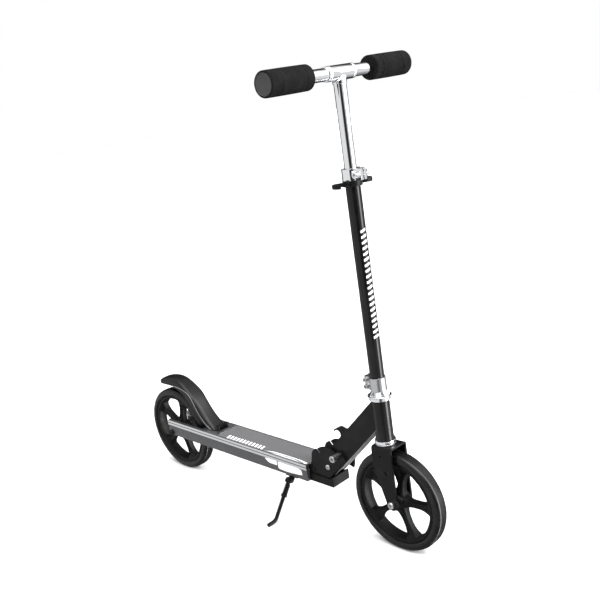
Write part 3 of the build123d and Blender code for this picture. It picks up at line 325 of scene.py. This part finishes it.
def mouldedPlastic(name="mouldedPlastic", shade=0.004, roughness=0.42, specular=0.2):
    # fine moulded grain over a slow mottle
    look = {"mottleScale": 35, "mottleLift": 1.35, "glossScale": 120, "grainScale": 2200, "grainBump": 0.12}
    f = Finish(name, gray(shade), roughness, specular=specular)
    mottle = f.spread(f.noise(look["mottleScale"], 5), 0.4, 0.7)
    f.color(f.mix(mottle, gray(shade), gray(shade * look["mottleLift"])))
    f.roughness(f.spread(f.noise(look["glossScale"], 4), 0.3, 0.7, roughness - 0.06, roughness + 0.08))
    f.bumps((f.noise(look["grainScale"], 2), look["grainBump"], 0.0003), edge=0.0006)
    return f.material


def tyreRubber():
    # smooth rubber, dulled in scuffed patches
    look = {"shade": 0.003, "scuffLift": 0.005, "roughness": 0.25, "scuff": 0.07}
    f = Finish("tyreRubber", gray(look["shade"]), look["roughness"], specular=0.3)
    scuff = f.spread(f.noise(40, 4, 0.5), 0.45, 0.8)
    f.color(f.mix(scuff, gray(look["shade"]), gray(look["shade"] + look["scuffLift"])))
    f.roughness(f.spread(scuff, 0, 1, look["roughness"], look["roughness"] + look["scuff"]))
    f.bumps((f.noise(90, 3), 0.04, 0.0004))
    return f.material


def foamRubber():
    # open cells, dull all over
    look = {"shade": 0.004, "lift": 0.004, "cell": 1100, "roughness": 0.9}
    f = Finish("foamRubber", gray(look["shade"]), look["roughness"], specular=0.12)
    cells = f.node("ShaderNodeTexVoronoi", {"Vector": f.coords, "Scale": look["cell"]}).outputs["Distance"]
    f.color(f.mix(f.spread(f.noise(50, 6), 0.4, 0.7), gray(look["shade"]), gray(look["shade"] + look["lift"])))
    f.bumps((cells, 0.35, 0.0004), (f.noise(300, 5), 0.25, 0.0005))
    return f.material


def gripSurface():
    # gritty deck tape, paler on the tips of its grit
    look = {"base": 0.085, "fleck": 0.15, "grain": 2400}
    f = Finish("gripSurface", gray(look["base"]), 0.9, specular=0.35)
    grain = f.noise(look["grain"], 3, 0.7)
    f.color(f.mix(f.spread(grain, 0.45, 0.7), gray(look["base"]), gray(look["fleck"])))
    f.roughness(f.spread(grain, 0.3, 0.7, 0.95, 0.72))
    f.bumps((grain, 0.6, 0.0004), (f.noise(30, 4), 0.1, 0.001))
    return f.material


def printedInk():
    # white print, worn through in small spots
    look = {"base": (0.8, 0.8, 0.81), "white": (0.82, 0.82, 0.83), "worn": (0.5, 0.5, 0.51), "wearScale": 160}
    f = Finish("printedInk", look["base"], 0.45)
    wear = f.spread(f.noise(look["wearScale"], 7, 0.7), 0.62, 0.72)
    f.color(f.mix(wear, look["white"], look["worn"]))
    f.bumps((f.noise(1500, 2), 0.08, 0.0002))
    return f.material


finishes = {
    "paint": blackPaint(),
    "forkPaint": blackPaint("forkPaint", 0.0035, 0.36, 0.16),
    "stemPaint": blackPaint("stemPaint", 0.003, 0.2, 0.3),
    "chrome": chrome(),
    "satin": brushedMetal("satinAluminium", (0.6, 0.6, 0.62), 0.24, (14, 14, 14)),
    "zinc": brushedMetal("zincSteel", (0.62, 0.63, 0.64), 0.3, (8, 8, 8)),
    "deck": deckMetal(),
    "neck": neckMetal(),
    "plastic": mouldedPlastic(),
    "wheel": mouldedPlastic("wheelPlastic", 0.0035, 0.36, 0.12),
    "fender": mouldedPlastic("fenderPlastic", 0.004, 0.34, 0.26),
    "tyre": tyreRubber(),
    "foam": foamRubber(),
    "brake": mouldedPlastic("brakeRubber", 0.012, 0.7),
    "grip": gripSurface(),
    # pale plastic of the fender's bead wire: a painted highlight standing in for the light caught on the bead's edge
    "bead": mouldedPlastic("beadPlastic", 0.3, 0.3, 0.5),
    "cap": mouldedPlastic("capPlastic", 0.022, 0.35, 0.5),
    "ink": printedInk(),
}
print("materials:", len(finishes))

# Finishes of the CAD nodes that keep their own shape
kept = {
    "deck": ["deck_extrusion"],
    "neck": ["neck"],
    "grip": ["grip_tape"],
    "paint": ["nose_block", "fold_bracket", "kickstand_bracket", "kickstand_leg", "latch", "bracket_rivets",
              "kickstand_bolt", "rear_axle", "rear_axle_nut", "fender_mount", "fender_pin"],
    "stemPaint": ["head_tube", "steerer_tube"],
    "forkPaint": ["fork"],
    "plastic": ["grip_clips", "fold_lever"],
    "brake": ["brake_block"],
    "chrome": ["lower_cup", "upper_cup", "dust_cover", "upper_clamp", "clamp_barrel"],
    "satin": ["lower_clamp", "clamp_lever", "lock_nut", "crown_race"],
}
given = {}
for finish, names in kept.items():
    given.update({name: finish for name in names})
for name, node in nodes.items():
    node.data.materials.clear()
    node.data.materials.append(finishes[given.get(name, "zinc")])

tyreShape = {"radius": 0.1, "seat": 0.084, "halfWidth": 0.0148, "tread": 0.0058, "ring": 0.0004, "shoulder": 0.0046,
             "steps": 192}
coreShape = {"rim": 0.0839, "rimInner": 0.0765, "halfRim": 0.0122, "hub": 0.0178, "halfHub": 0.0164, "bore": 0.0111,
             "spokes": 5, "firstSpoke": 3, "halfSpoke": 0.0062, "flareHub": 0.0052, "flareRim": 0.0105,
             "halfThick": 0.0078, "thickerHub": 0.0030, "thickerRim": 0.0034, "pocket": 0.42, "rib": 0.0022,
             "pocketFrom": (0.024, 0.031), "pocketTo": (0.066, 0.073), "rimSteps": 160, "hubSteps": 72}


def tyreProfile(s):
    # half section in (radius, width): up the side wall from the seat, over two raised rings, then the crown,
    # whose radius goes with sin^0.92 and width with cos^0.8 of the same angle, to the flat tread; mirrored
    seat, wall, ring, shoulder = s["seat"], s["halfWidth"], s["ring"], s["seat"] + s["shoulder"]
    side = [(seat, wall - 0.0024), (seat + 0.0012, wall - 0.0010), (seat + 0.0024, wall - 0.0003),
            (seat + 0.0030, wall + ring - 0.0003), (seat + 0.0038, wall + ring - 0.0003), (seat + 0.0043, wall - 0.0001)]
    turn = np.linspace(0, pi / 2, 14)
    crown = np.stack([shoulder + (s["radius"] - shoulder) * np.sin(turn) ** 0.92,
                      s["tread"] + (wall - s["tread"]) * np.cos(turn) ** 0.8], 1)
    half = np.concatenate([np.array(side), crown])
    return np.concatenate([half, half[::-1] * (1, -1)])


def squared(value, power):
    # keeps the sign; a power below one pushes a circle's sine and cosine out towards a square
    return np.sign(value) * np.abs(value) ** power


def spokeGrid(s, centre, turn):
    # point = centre + along * out + side * sideways + depth * across: along runs from hub to rim, and side
    # and depth run round a squared-off oval, wider at both ends, its faces sunk between two ribs
    along = np.linspace(s["hub"] - 0.003, s["rimInner"] + 0.002, 40)[:, None]
    angle = np.linspace(0, 2 * pi, 48, endpoint=False)[None, :]
    near = np.clip((0.040 - along) / 0.024, 0, 1) ** 2.2
    far = np.clip((along - 0.044) / 0.033, 0, 1) ** 2.6
    half = s["halfSpoke"] + s["flareHub"] * near + s["flareRim"] * far
    side = half * squared(np.cos(angle), 0.55)
    inPocket = 1 - smoothStep(np.abs(side), half - s["rib"] * 1.7, half - s["rib"] * 0.7)
    inPocket = inPocket * smoothStep(along, *s["pocketFrom"]) * (1 - smoothStep(along, *s["pocketTo"]))
    thick = s["halfThick"] + s["thickerHub"] * near + s["thickerRim"] * far
    depth = thick * squared(np.sin(angle), 0.4) * (1 - s["pocket"] * inPocket)
    out = np.array([cos(turn), 0, sin(turn)])
    sideways = np.array([-sin(turn), 0, cos(turn)])
    return centre + along[..., None] * out + side[..., None] * sideways + depth[..., None] * across


def rimLoop(s):
    # ring's section: a slightly dished inner face, soft lips, and a seat for the tyre between two low edges
    inner, rim, half = s["rimInner"], s["rim"], s["halfRim"]
    return softCorners([(inner, -half + 0.0006), (inner - 0.0007, 0), (inner, half - 0.0006), (inner + 0.0012, half),
                        (rim - 0.0014, half), (rim - 0.0010, half - 0.0007), (rim, half - 0.0007),
                        (rim, -half + 0.0007), (rim - 0.0010, -half + 0.0007), (rim - 0.0014, -half),
                        (inner + 0.0012, -half)], 0.0006, closed=True)


def hubLoop(s):
    # hub's section: straight bore, outer face stepped down near both ends
    hub, half = s["hub"], s["halfHub"]
    return softCorners([(s["bore"], -half), (hub - 0.0030, -half), (hub - 0.0015, -half + 0.0016), (hub, -half + 0.0040),
                        (hub, half - 0.0040), (hub - 0.0015, half - 0.0016), (hub - 0.0030, half), (s["bore"], half)],
                       0.0009, closed=True)


for end, centre in wheelCentres.items():
    tyreGrid = lathe(tyreProfile(tyreShape), centre, across, tyreShape["steps"])
    tyre = makePiece(end + "Tyre", [(tyreGrid, True, True)], finishes["tyre"])
    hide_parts(end + "_tyre")
    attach(tyre, end + "_wheel")
    grids = [(lathe(rimLoop(coreShape), centre, across, coreShape["rimSteps"]), True, True),
             (lathe(hubLoop(coreShape), centre, across, coreShape["hubSteps"]), True, True)]
    for k in range(coreShape["spokes"]):
        turn = radians(coreShape["firstSpoke"]) + 2 * pi * k / coreShape["spokes"]
        grids.append((spokeGrid(coreShape, centre, turn), False, True))
    core = makePiece(end + "WheelCore", grids, finishes["wheel"])
    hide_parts(end + "_wheel_core")
    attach(core, end + "_wheel")
print("wheels made")

# Stem and handlebar sizes: heights are along the steering axis, bar widths from its middle
outerShape = {"radius": 0.0135, "wall": 0.0024, "low": 0.2196, "high": 0.627, "steps": 128}
innerShape = {"radius": 0.011, "wall": 0.002, "low": 0.4305, "high": 0.7765, "steps": 128}
barShape = {"height": 0.788, "radius": 0.011, "wall": 0.002, "gap": 0.003, "end": 0.172, "steps": 96}
teeShape = {"radius": 0.013, "half": 0.034, "bore": 0.011, "soft": 0.0003, "step": 0.0006, "steps": 96,
            "ring": (0.0042, 0.0047, 0.0055, 0.006), "socket": 0.018, "socketRadius": 0.0124, "socketBore": 0.0108,
            "flare": 0.0033, "lift": 0.0004}


def hollowTube(s, low, high, soft=0.0006):
    # outline of a tube's wall in (radius, height), with rounded lips
    inside = s["radius"] - s["wall"]
    return softCorners([(inside, low), (s["radius"], low), (s["radius"], high), (inside, high)], soft, closed=True)


outerLine = hollowTube(outerShape, outerShape["low"], outerShape["high"])
outerGrid = lathe(outerLine, steerFoot, steerUp, outerShape["steps"])
outer = makePiece("outerStem", [(outerGrid, True, True)], finishes["stemPaint"])
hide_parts("outer_stem")
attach(outer, "steering")

innerLine = hollowTube(innerShape, innerShape["low"], innerShape["high"])
innerGrid = lathe(innerLine, steerFoot, steerUp, innerShape["steps"])
inner = makePiece("innerStem", [(innerGrid, True, True)], finishes["chrome"])
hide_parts("inner_stem")
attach(inner, "handlebar")

barCentre = steerFoot + barShape["height"] * steerUp
bars = []
for side in (-1, 1):
    barLine = hollowTube(barShape, side * barShape["gap"], side * barShape["end"])
    bars.append((lathe(barLine, barCentre, across, barShape["steps"]), True, True))
barTubes = makePiece("barTubes", bars, finishes["chrome"])
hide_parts("bar_tubes")
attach(barTubes, "handlebar")


def teeLoop(s):
    # the T's cross tube in (radius, width): a low ring turned near each end, mirrored about its middle
    radius, half, low = s["radius"], s["half"], s["radius"] - s["step"]
    ring = [half - place for place in s["ring"]]
    end = np.array([(s["bore"], half), (low, half), (radius, half - s["step"]), (radius, ring[0]), (low, ring[1]),
                    (low, ring[2]), (radius, ring[3])])
    return softCorners(np.concatenate([end * (1, -1), end[::-1]]), s["soft"], closed=True)


def socketGrid(s):
    # the T's socket: rows rise from its lip to the saddle curve -sqrt(R^2 - (r cos a)^2), where it meets the
    # cross tube, and its radius swells towards the two sides near the top
    rise = np.linspace(0, 1, 12)[:, None, None]
    turn = np.linspace(0, 2 * pi, s["steps"], endpoint=False)[None, :, None]
    outward = np.cos(turn) * steerOut + np.sin(turn) * across
    radius = s["socketRadius"] + s["flare"] * smoothStep(rise, 0.55, 1.0) * np.abs(np.sin(turn)) ** 2
    saddle = -np.sqrt(np.clip(s["radius"] ** 2 - (s["socketRadius"] * np.cos(turn)) ** 2, 0, None))
    height = -s["socket"] * (1 - rise) + (saddle + s["lift"]) * rise
    lip = barCentre + s["socketBore"] * outward - s["socket"] * steerUp
    return np.concatenate([lip, barCentre + radius * outward + height * steerUp])


teeGrids = [(lathe(teeLoop(teeShape), barCentre, across, teeShape["steps"]), True, True),
            (socketGrid(teeShape), False, True)]
tee = makePiece("handlebarTee", teeGrids, finishes["chrome"], weld=1e-7)
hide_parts("handlebar_tee")
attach(tee, "handlebar")

gripShape = {"radius": 0.0212, "bore": 0.0111, "length": 0.097, "end": 0.1755, "groove": 0.0012, "grooveWidth": 0.0007,
             "grooveAt": (0.024, 0.080), "bulge": 0.0003, "shoulder": 0.0024, "recess": 0.0185, "recessDepth": 0.0035,
             "recessLip": 0.0003, "sharpAngle": 60, "steps": 128}


def gripProfile(g):
    # outer line in (radius, width): radius + bulge * sin(pi t)^0.6, less a narrow bell curve at each groove
    # and a quarter circle at each shoulder; then the recess for the end disc and the line on the bar
    t = np.linspace(0, 1, 160)
    height = t * g["length"]
    radius = g["radius"] + g["bulge"] * np.sin(pi * t) ** 0.6
    for place in g["grooveAt"]:
        radius = radius - g["groove"] * np.exp(-((height - place) / g["grooveWidth"]) ** 2)
    edge = np.minimum(height, g["length"] - height)
    share = np.clip(edge / g["shoulder"], 0, 1)
    radius = radius - g["shoulder"] * (1 - np.sqrt(1 - (1 - share) ** 2))
    seat = [(g["bore"], g["recessDepth"]), (g["recess"], g["recessDepth"]), (g["recess"], g["recessLip"])]
    return np.concatenate([seat, np.stack([radius, height], 1), [(g["bore"], g["length"])]])


for sideName, side in (("left", 1), ("right", -1)):
    profile = gripProfile(gripShape)
    profile[:, 1] = side * (gripShape["end"] - profile[:, 1])
    gripGrid = lathe(profile, barCentre, across, gripShape["steps"])
    grip = makePiece(sideName + "Grip", [(gripGrid, True, True)], finishes["foam"], gripShape["sharpAngle"])
    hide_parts(sideName + "_grip")
    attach(grip, "handlebar")

capShape = {"radius": 0.0183, "rim": 0.0012, "sunk": 0.0007, "depth": 0.0034, "flush": 0.0001, "edge": 0.0004,
            "slope": 0.0005, "soft": 0.0003, "innerRings": (0.0105, 0.006), "steps": 96}


def capLine(s):
    # flat end disc in (radius, depth from the grip's end), with a low raised rim
    radius, inRim = s["radius"], s["radius"] - s["rim"]
    backRing, faceRing = s["innerRings"]
    return np.array([(0, s["depth"]), (backRing, s["depth"]), (radius, s["depth"]), (radius, 0.0005),
                     (radius - s["edge"], s["flush"]), (inRim, s["flush"]), (inRim - s["slope"], s["sunk"]),
                     (faceRing, s["sunk"]), (0, s["sunk"])])


capGrids = []
for side in (1, -1):
    line = softCorners(capLine(capShape), capShape["soft"])
    line[:, 1] = side * (gripShape["end"] - line[:, 1])
    capGrids.append((lathe(line, barCentre, across, capShape["steps"]), False, True))
caps = makePiece("endCaps", capGrids, finishes["cap"])
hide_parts("end_caps")
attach(caps, "handlebar")
print("stems, handlebar and grips made")

# Fender: side-view lines of its crown, bead and skirt, in millimetres ahead of the rear axle and above the floor
fenderLines = {
    "crown": [(-41, 219), (-30, 227), (2, 234), (30, 231.5), (57, 217), (80, 197.5), (104, 168), (122, 150),
              (138, 137.5), (147, 132)],
    "bead": [(-41, 214), (-24, 215), (9, 215.5), (31, 215), (53, 211), (72.5, 200.5), (92, 168), (108, 148),
             (124, 136), (134, 131.6)],
    "skirt": [(-41, 213.5), (-24, 213.5), (6, 213.5), (24, 209), (45, 199), (60, 186), (80, 163), (97, 144),
              (112, 134), (122, 131.6)],
}
fenderShape = {"half": 0.0188, "step": 0.0016, "wall": 0.0020, "rows": 128, "square": 0.52, "tailRound": 0.09,
               "taper": 0.0003, "sharpAngle": 30}


def fenderGrid(lines, s):
    # along the fender: the three curves; across it: a squared-off oval from the crown down to the bead,
    # then a small step in and the skirt; the tail is drawn in to a round end
    shift = np.array([rearX, 0])
    crown, bead, skirt = (throughPoints(lines[k], s["rows"]) * mm + shift for k in ("crown", "bead", "skirt"))
    turn = np.linspace(0, pi / 2, 22)
    half, step = s["half"], s["step"]
    # columns are (y, share from crown to bead, share from bead to skirt)
    top = np.stack([half * np.sin(turn) ** s["square"], 1 - np.cos(turn) ** s["square"], 0 * turn], 1)
    lip = np.array([(half + 0.0003, 1.0, 0.02), (half + 0.0002, 1.0, 0.09), (half - step, 1.0, 0.13)])
    lower = np.linspace(0.2, 1, 8)
    side = np.stack([half - step - s["taper"] * lower, 0 * lower + 1, lower], 1)
    halfSection = np.concatenate([top, lip, side])
    section = np.concatenate([halfSection[::-1] * (-1, 1, 1), halfSection[1:]])
    y, low, lower = (section[:, k][None, :] for k in range(3))
    line = [crown[:, k][:, None] * (1 - low) + bead[:, k][:, None] * low for k in (0, 1)]
    line = [line[k] * (1 - lower) + skirt[:, k][:, None] * lower for k in (0, 1)]
    # the tail is closed by drawing each section in to its middle along a quarter circle
    tail = np.clip(1 - np.linspace(0, 1, s["rows"])[:, None] / s["tailRound"], 0, 1)
    keep = np.sqrt(1 - tail ** 2)
    middle = [0.5 * (crown[:, k] + bead[:, k])[:, None] for k in (0, 1)]
    return np.stack([middle[0] + keep * (line[0] - middle[0]), keep * y, middle[1] + keep * (line[1] - middle[1])], -1)


fenderSurface = fenderGrid(fenderLines, fenderShape)
fender = makePiece("fenderShell", [(fenderSurface, False, False)], finishes["fender"], fenderShape["sharpAngle"])
fenderTop = max(fender.data.polygons, key=lambda face: face.center.z)
if fenderTop.normal.z < 0:
    fender.data.flip_normals()
wall = fender.modifiers.new("wall", "SOLIDIFY")
wall.thickness, wall.offset, wall.use_even_offset = fenderShape["wall"], -1.0, True  # inwards from the outer face
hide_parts("fender")
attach(fender, "fender_brake")

# Painted highlight along the lower edge of each side: a round pale wire carried along the bead line, its light colour
# standing in for the edge's highlight
highlightBeadShape = {"radius": 0.0005, "out": 0.0001, "from": 30, "sides": 10}
beadLine = throughPoints(fenderLines["bead"], fenderShape["rows"])[highlightBeadShape["from"]:] * mm
highlightBeadGrids = []
for side in (-1, 1):
    y = np.full(len(beadLine), side * (fenderShape["half"] + highlightBeadShape["out"]))
    path = np.stack([beadLine[:, 0] + rearX, y, beadLine[:, 1]], 1)
    highlightBeadGrids.append((sweep(path, highlightBeadShape["radius"], highlightBeadShape["sides"]), False, True))
bead = makePiece("fenderBead", highlightBeadGrids, finishes["bead"])
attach(bead, "fender_brake")
print("fender made")


def coil(start, axis, s, steps=24, sides=10):
    # helix: point = start + length * rise * axis + radius * (cos a, sin a) across it, a = 2 pi turns t; rise
    # runs with t, slowed a little at both ends so that the end turns lie closer
    closer = 0.12
    first, second, axis = frameOf(np.asarray(axis, dtype=float))
    t = np.linspace(0, 1, int(s["turns"] * steps))[:, None]
    rise = smoothStep(t, 0, 1) * closer + t * (1 - closer)
    angle = 2 * pi * s["turns"] * t
    ring = np.cos(angle) * first + np.sin(angle) * second
    return sweep(np.asarray(start) + s["length"] * rise * axis + s["radius"] * ring, s["wire"], sides)


# The kickstand's spring sits round its leg, which runs from the pivot to the bend
kickSpring = {"start": 0.0085, "length": 0.0235, "radius": 0.0051, "wire": 0.0009, "turns": 6.5,
              "legBend": (0.050, -0.075, 0.004)}
kickPivot = np.array(joints["kickstand_swing"]["pos_m"])
kickDir = np.array(kickSpring["legBend"]) - kickPivot
kickDir /= np.linalg.norm(kickDir)
kickGrid = coil(kickPivot + kickSpring["start"] * kickDir, kickDir, kickSpring)
kickCoil = makePiece("kickstandCoil", [(kickGrid, False, True)], finishes["paint"])
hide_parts("kickstand_spring")
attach(kickCoil, "kickstand")

# The fender's spring lies across, round its hinge pin
fenderSpring = {"length": 0.025, "radius": 0.0041, "wire": 0.0007, "turns": 9}
fenderHinge = np.array(joints["fender_press"]["pos_m"])
springGrid = coil(fenderHinge - 0.5 * fenderSpring["length"] * across, across, fenderSpring)
fenderCoil = makePiece("fenderCoil", [(springGrid, False, True)], finishes["paint"])
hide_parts("fender_spring")
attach(fenderCoil, "deck")
print("springs made")


# Printed graphics: plain tapered shapes and slanted strokes, no lettering
def ribbon(lowLine, highLine, place, count=40, rows=4):
    # point = place((1 - t) * low + t * high): straight blend of two curves, placed by a function of the pair
    low, high = throughPoints(lowLine, count), throughPoints(highLine, count)
    t = np.linspace(0, 1, rows)[:, None, None]
    flat = low[None] * (1 - t) + high[None] * t
    return place(flat[..., 0], flat[..., 1])


deckSide = float(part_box("deck_extrusion")[0][1]) + 0.001  # the web stands 1 mm inside the head band
deckTop = float(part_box("grip_tape")[1][2])
ink = 0.00012


def onSide(x, z):
    # millimetres ahead of the rear axle and above the floor, on the deck's side
    return np.stack([x * mm + rearX, np.full_like(x, deckSide - ink), z * mm], -1)


def onTop(x, y):
    # millimetres ahead of the rear axle and across the deck's top
    return np.stack([x * mm + rearX, y * mm, np.full_like(x, deckTop + ink)], -1)


def onStem(angle, up):
    # angle round the outer stem and millimetres up it
    out = np.cos(angle)[..., None] * steerOut + np.sin(angle)[..., None] * across
    return steerFoot + (outerShape["radius"] + ink) * out + (up * mm)[..., None] * steerUp


# Lower and upper line of each shape, in the millimetres of its place
sideShapes = {
    "panel": ([(361.5, 102.5), (366, 100.4), (382, 99.8), (405, 100.8), (432, 103.6)],
              [(361, 116.0), (366, 117.2), (382, 117.4), (413, 117.6), (430, 115)]),
    "wedge": ([(323, 114.6), (332, 108.8), (338, 107.4), (358, 107.2)],
              [(323, 116.2), (332, 117.3), (340, 117.4), (358.4, 117.4)]),
}
topShapes = {
    "sweep": ([(321, -28.9), (336, -26.0), (352, -24.4), (378, -23.2), (415, -23.4), (440, -28.8)],
              [(321, -28.4), (336, -23.6), (352, -21.4), (378, -20.4), (415, -20.2), (443, -22.8)]),
    "sliver": ([(338, -28.9), (360, -28.9), (400, -28.9), (428, -28.9)],
               [(338, -28.5), (360, -26.4), (400, -25.6), (428, -28.4)]),
}
deckStroke = {"start": 197, "pitch": 9.9, "count": 12, "long": 5.6, "lean": -3.4, "low": -28.0, "high": -13.5}
stemStroke = {"low": 322.0, "pitch": 10.2, "count": 20, "long": 4.4, "lean": 3.4, "centre": -0.22, "half": 0.40}
sideGrids = [ribbon(low, high, onSide) for low, high in sideShapes.values()]
topGrids = [ribbon(low, high, onTop) for low, high in topShapes.values()]
for k in range(deckStroke["count"]):
    start = deckStroke["start"] + k * deckStroke["pitch"]
    ends = (start, start + deckStroke["long"])
    low = [(x, deckStroke["low"]) for x in ends]
    high = [(x + deckStroke["lean"], deckStroke["high"]) for x in ends]
    topGrids.append(ribbon(low, high, onTop, 6, 4))
stemGrids = []
ends = (stemStroke["centre"] - stemStroke["half"], stemStroke["centre"] + stemStroke["half"])
for k in range(stemStroke["count"]):
    foot = stemStroke["low"] + k * stemStroke["pitch"]
    low, high = ([(ends[0], z), (ends[1], z + stemStroke["lean"])] for z in (foot, foot + stemStroke["long"]))
    stemGrids.append(ribbon(low, high, onStem, 12, 4))
for name, grids, body in (("sidePrint", sideGrids, "deck"), ("topPrint", topGrids, "deck"),
                          ("stemPrint", stemGrids, "steering")):
    prints = makePiece(name, [(grid, False, False) for grid in grids], finishes["ink"], 180)
    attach(prints, body)
print("graphics made")

# Floor, light and camera
studio = {"floor": (0.93, 0.93, 0.93), "halfFloor": 9, "side": 5, "top": 5, "sun": 2.6, "sunSpread": 50,
          "sunTilt": (18, 14)}
room = {"front": (0.718, -0.696, 0.0), "right": (0.696, 0.718, 0.0), "leftWall": 0.85, "rightWall": 0.8,
        "frontWall": 0.04, "frontEdge": (0.86, 0.95), "backWall": 0.06, "backEdge": (-0.74, -0.48),
        "floorGlow": 0.3, "floorEdge": (-0.75, -0.4), "band": (0.905, 0.425, 0.0), "bandLight": 12.0,
        "bandEdge": (0.968, 0.992)}
floorMesh = bpy.data.meshes.new("floor")
half = studio["halfFloor"]
floorMesh.from_pydata([(-half, -half, 0), (half, -half, 0), (half, half, 0), (-half, half, 0)], [], [(0, 1, 2, 3)])
floor = bpy.data.objects.new("floor", floorMesh)
bpy.context.scene.collection.objects.link(floor)
paper = Finish("paper", studio["floor"], 0.9, specular=0.1)
paper.roughness(paper.spread(paper.noise(30, 3), 0.3, 0.7, 0.85, 0.95))
floorMesh.materials.append(paper.material)
floor.visible_glossy = False  # keeps reflections of the pale floor out of the black parts


def softBox(name, place, target, size, power):
    light = bpy.data.lights.new(name, "AREA")
    light.shape, light.size, light.size_y, light.energy = "RECTANGLE", size[0], size[1], power
    lamp = bpy.data.objects.new(name, light)
    lamp.location = place
    lamp.rotation_euler = (Vector(target) - Vector(place)).to_track_quat("-Z", "Y").to_euler()
    bpy.context.scene.collection.objects.link(lamp)


softBox("sideBox", (1.2, 1.5, 1.5), (0.1, 0, 0.4), (0.9, 1.6), studio["side"])
softBox("topBox", (0.2, -0.5, 2.2), (0, 0, 0.2), (1.8, 1.2), studio["top"])
sun = bpy.data.lights.new("skyLight", "SUN")
sun.energy, sun.angle = studio["sun"], radians(studio["sunSpread"])
sunLamp = bpy.data.objects.new("skyLight", sun)
sunLamp.rotation_euler = (*(radians(turn) for turn in studio["sunTilt"]), 0)
bpy.context.scene.collection.objects.link(sunLamp)

# The room around the stage: white to the eye; for lighting and reflections, bright walls at the two
# sides and a dark one before and behind, by the direction's dot products with those two walls
world = bpy.data.worlds.new("studio")
world.use_nodes = True
bpy.context.scene.world = world
worldTree = world.node_tree


def worldNode(kind, links=(), **settings):
    return addNode(worldTree, kind, links, settings)


def worldDot(a, b):
    return worldNode("ShaderNodeVectorMath", {0: a, 1: b}, operation="DOT_PRODUCT").outputs["Value"]


def worldMaths(operation, a, b):
    return worldNode("ShaderNodeMath", {0: a, 1: b}, operation=operation).outputs[0]


def worldRamp(value, low, high, outLow, outHigh):
    links = {"Value": value, "From Min": low, "From Max": high, "To Min": outLow, "To Max": outHigh}
    return worldNode("ShaderNodeMapRange", links, interpolation_type="SMOOTHSTEP").outputs[0]


toward = worldNode("ShaderNodeTexCoord").outputs["Generated"]
facing = worldDot(toward, room["front"])
sideways = worldDot(toward, room["right"])
walls = worldRamp(sideways, -0.5, 0.5, room["leftWall"], room["rightWall"])
frontDark = worldRamp(facing, *room["frontEdge"], 1.0, room["frontWall"])
backDark = worldRamp(facing, *room["backEdge"], room["backWall"], 1.0)
height = worldNode("ShaderNodeSeparateXYZ", {0: toward}).outputs[2]
lowDark = worldRamp(height, *room["floorEdge"], room["floorGlow"], 1.0)
level = worldMaths("MULTIPLY", walls, frontDark)
level = worldMaths("MULTIPLY", level, backDark)
level = worldMaths("MULTIPLY", level, lowDark)
# an upright bright band: the direction is laid flat before it is compared with the band's
levelled = worldNode("ShaderNodeVectorMath", {0: toward, 1: (1, 1, 0)}, operation="MULTIPLY").outputs[0]
levelled = worldNode("ShaderNodeVectorMath", {0: levelled}, operation="NORMALIZE").outputs[0]
bandGlow = worldRamp(worldDot(levelled, room["band"]), *room["bandEdge"], 0.0, room["bandLight"])
level = worldMaths("ADD", level, bandGlow)
eye = worldNode("ShaderNodeLightPath").outputs["Is Camera Ray"]
strength = worldNode("ShaderNodeMix", {0: eye, 2: level, 3: 1.0}, data_type="FLOAT").outputs[0]
sky = worldTree.nodes["Background"]
sky.inputs["Color"].default_value = (1, 1, 1, 1)
worldTree.links.new(strength, sky.inputs["Strength"])

# Camera: back is the way it looks away from, right and up are then turned by its roll
view = {"place": (1.28055, -1.11667, 0.93087), "azimuth": 45.89, "elevation": 15.97, "roll": -7.29, "lens": 52.0,
        "sensor": 36}
az, el, roll = (radians(view[k]) for k in ("azimuth", "elevation", "roll"))
back = Vector((sin(az) * cos(el), -cos(az) * cos(el), sin(el)))
flatRight = Vector((cos(az), sin(az), 0))
upright = back.cross(flatRight)
right = flatRight * cos(roll) + upright * sin(roll)
up = upright * cos(roll) - flatRight * sin(roll)
camera = bpy.data.objects.new("camera", bpy.data.cameras.new("camera"))
camera.data.lens, camera.data.sensor_width = view["lens"], view["sensor"]
camera.matrix_world = Matrix.Translation(view["place"]) @ Matrix((right, up, back)).transposed().to_4x4()
bpy.context.scene.collection.objects.link(camera)
bpy.context.scene.camera = camera
bpy.context.scene.view_settings.view_transform = "Standard"
print("stage set")
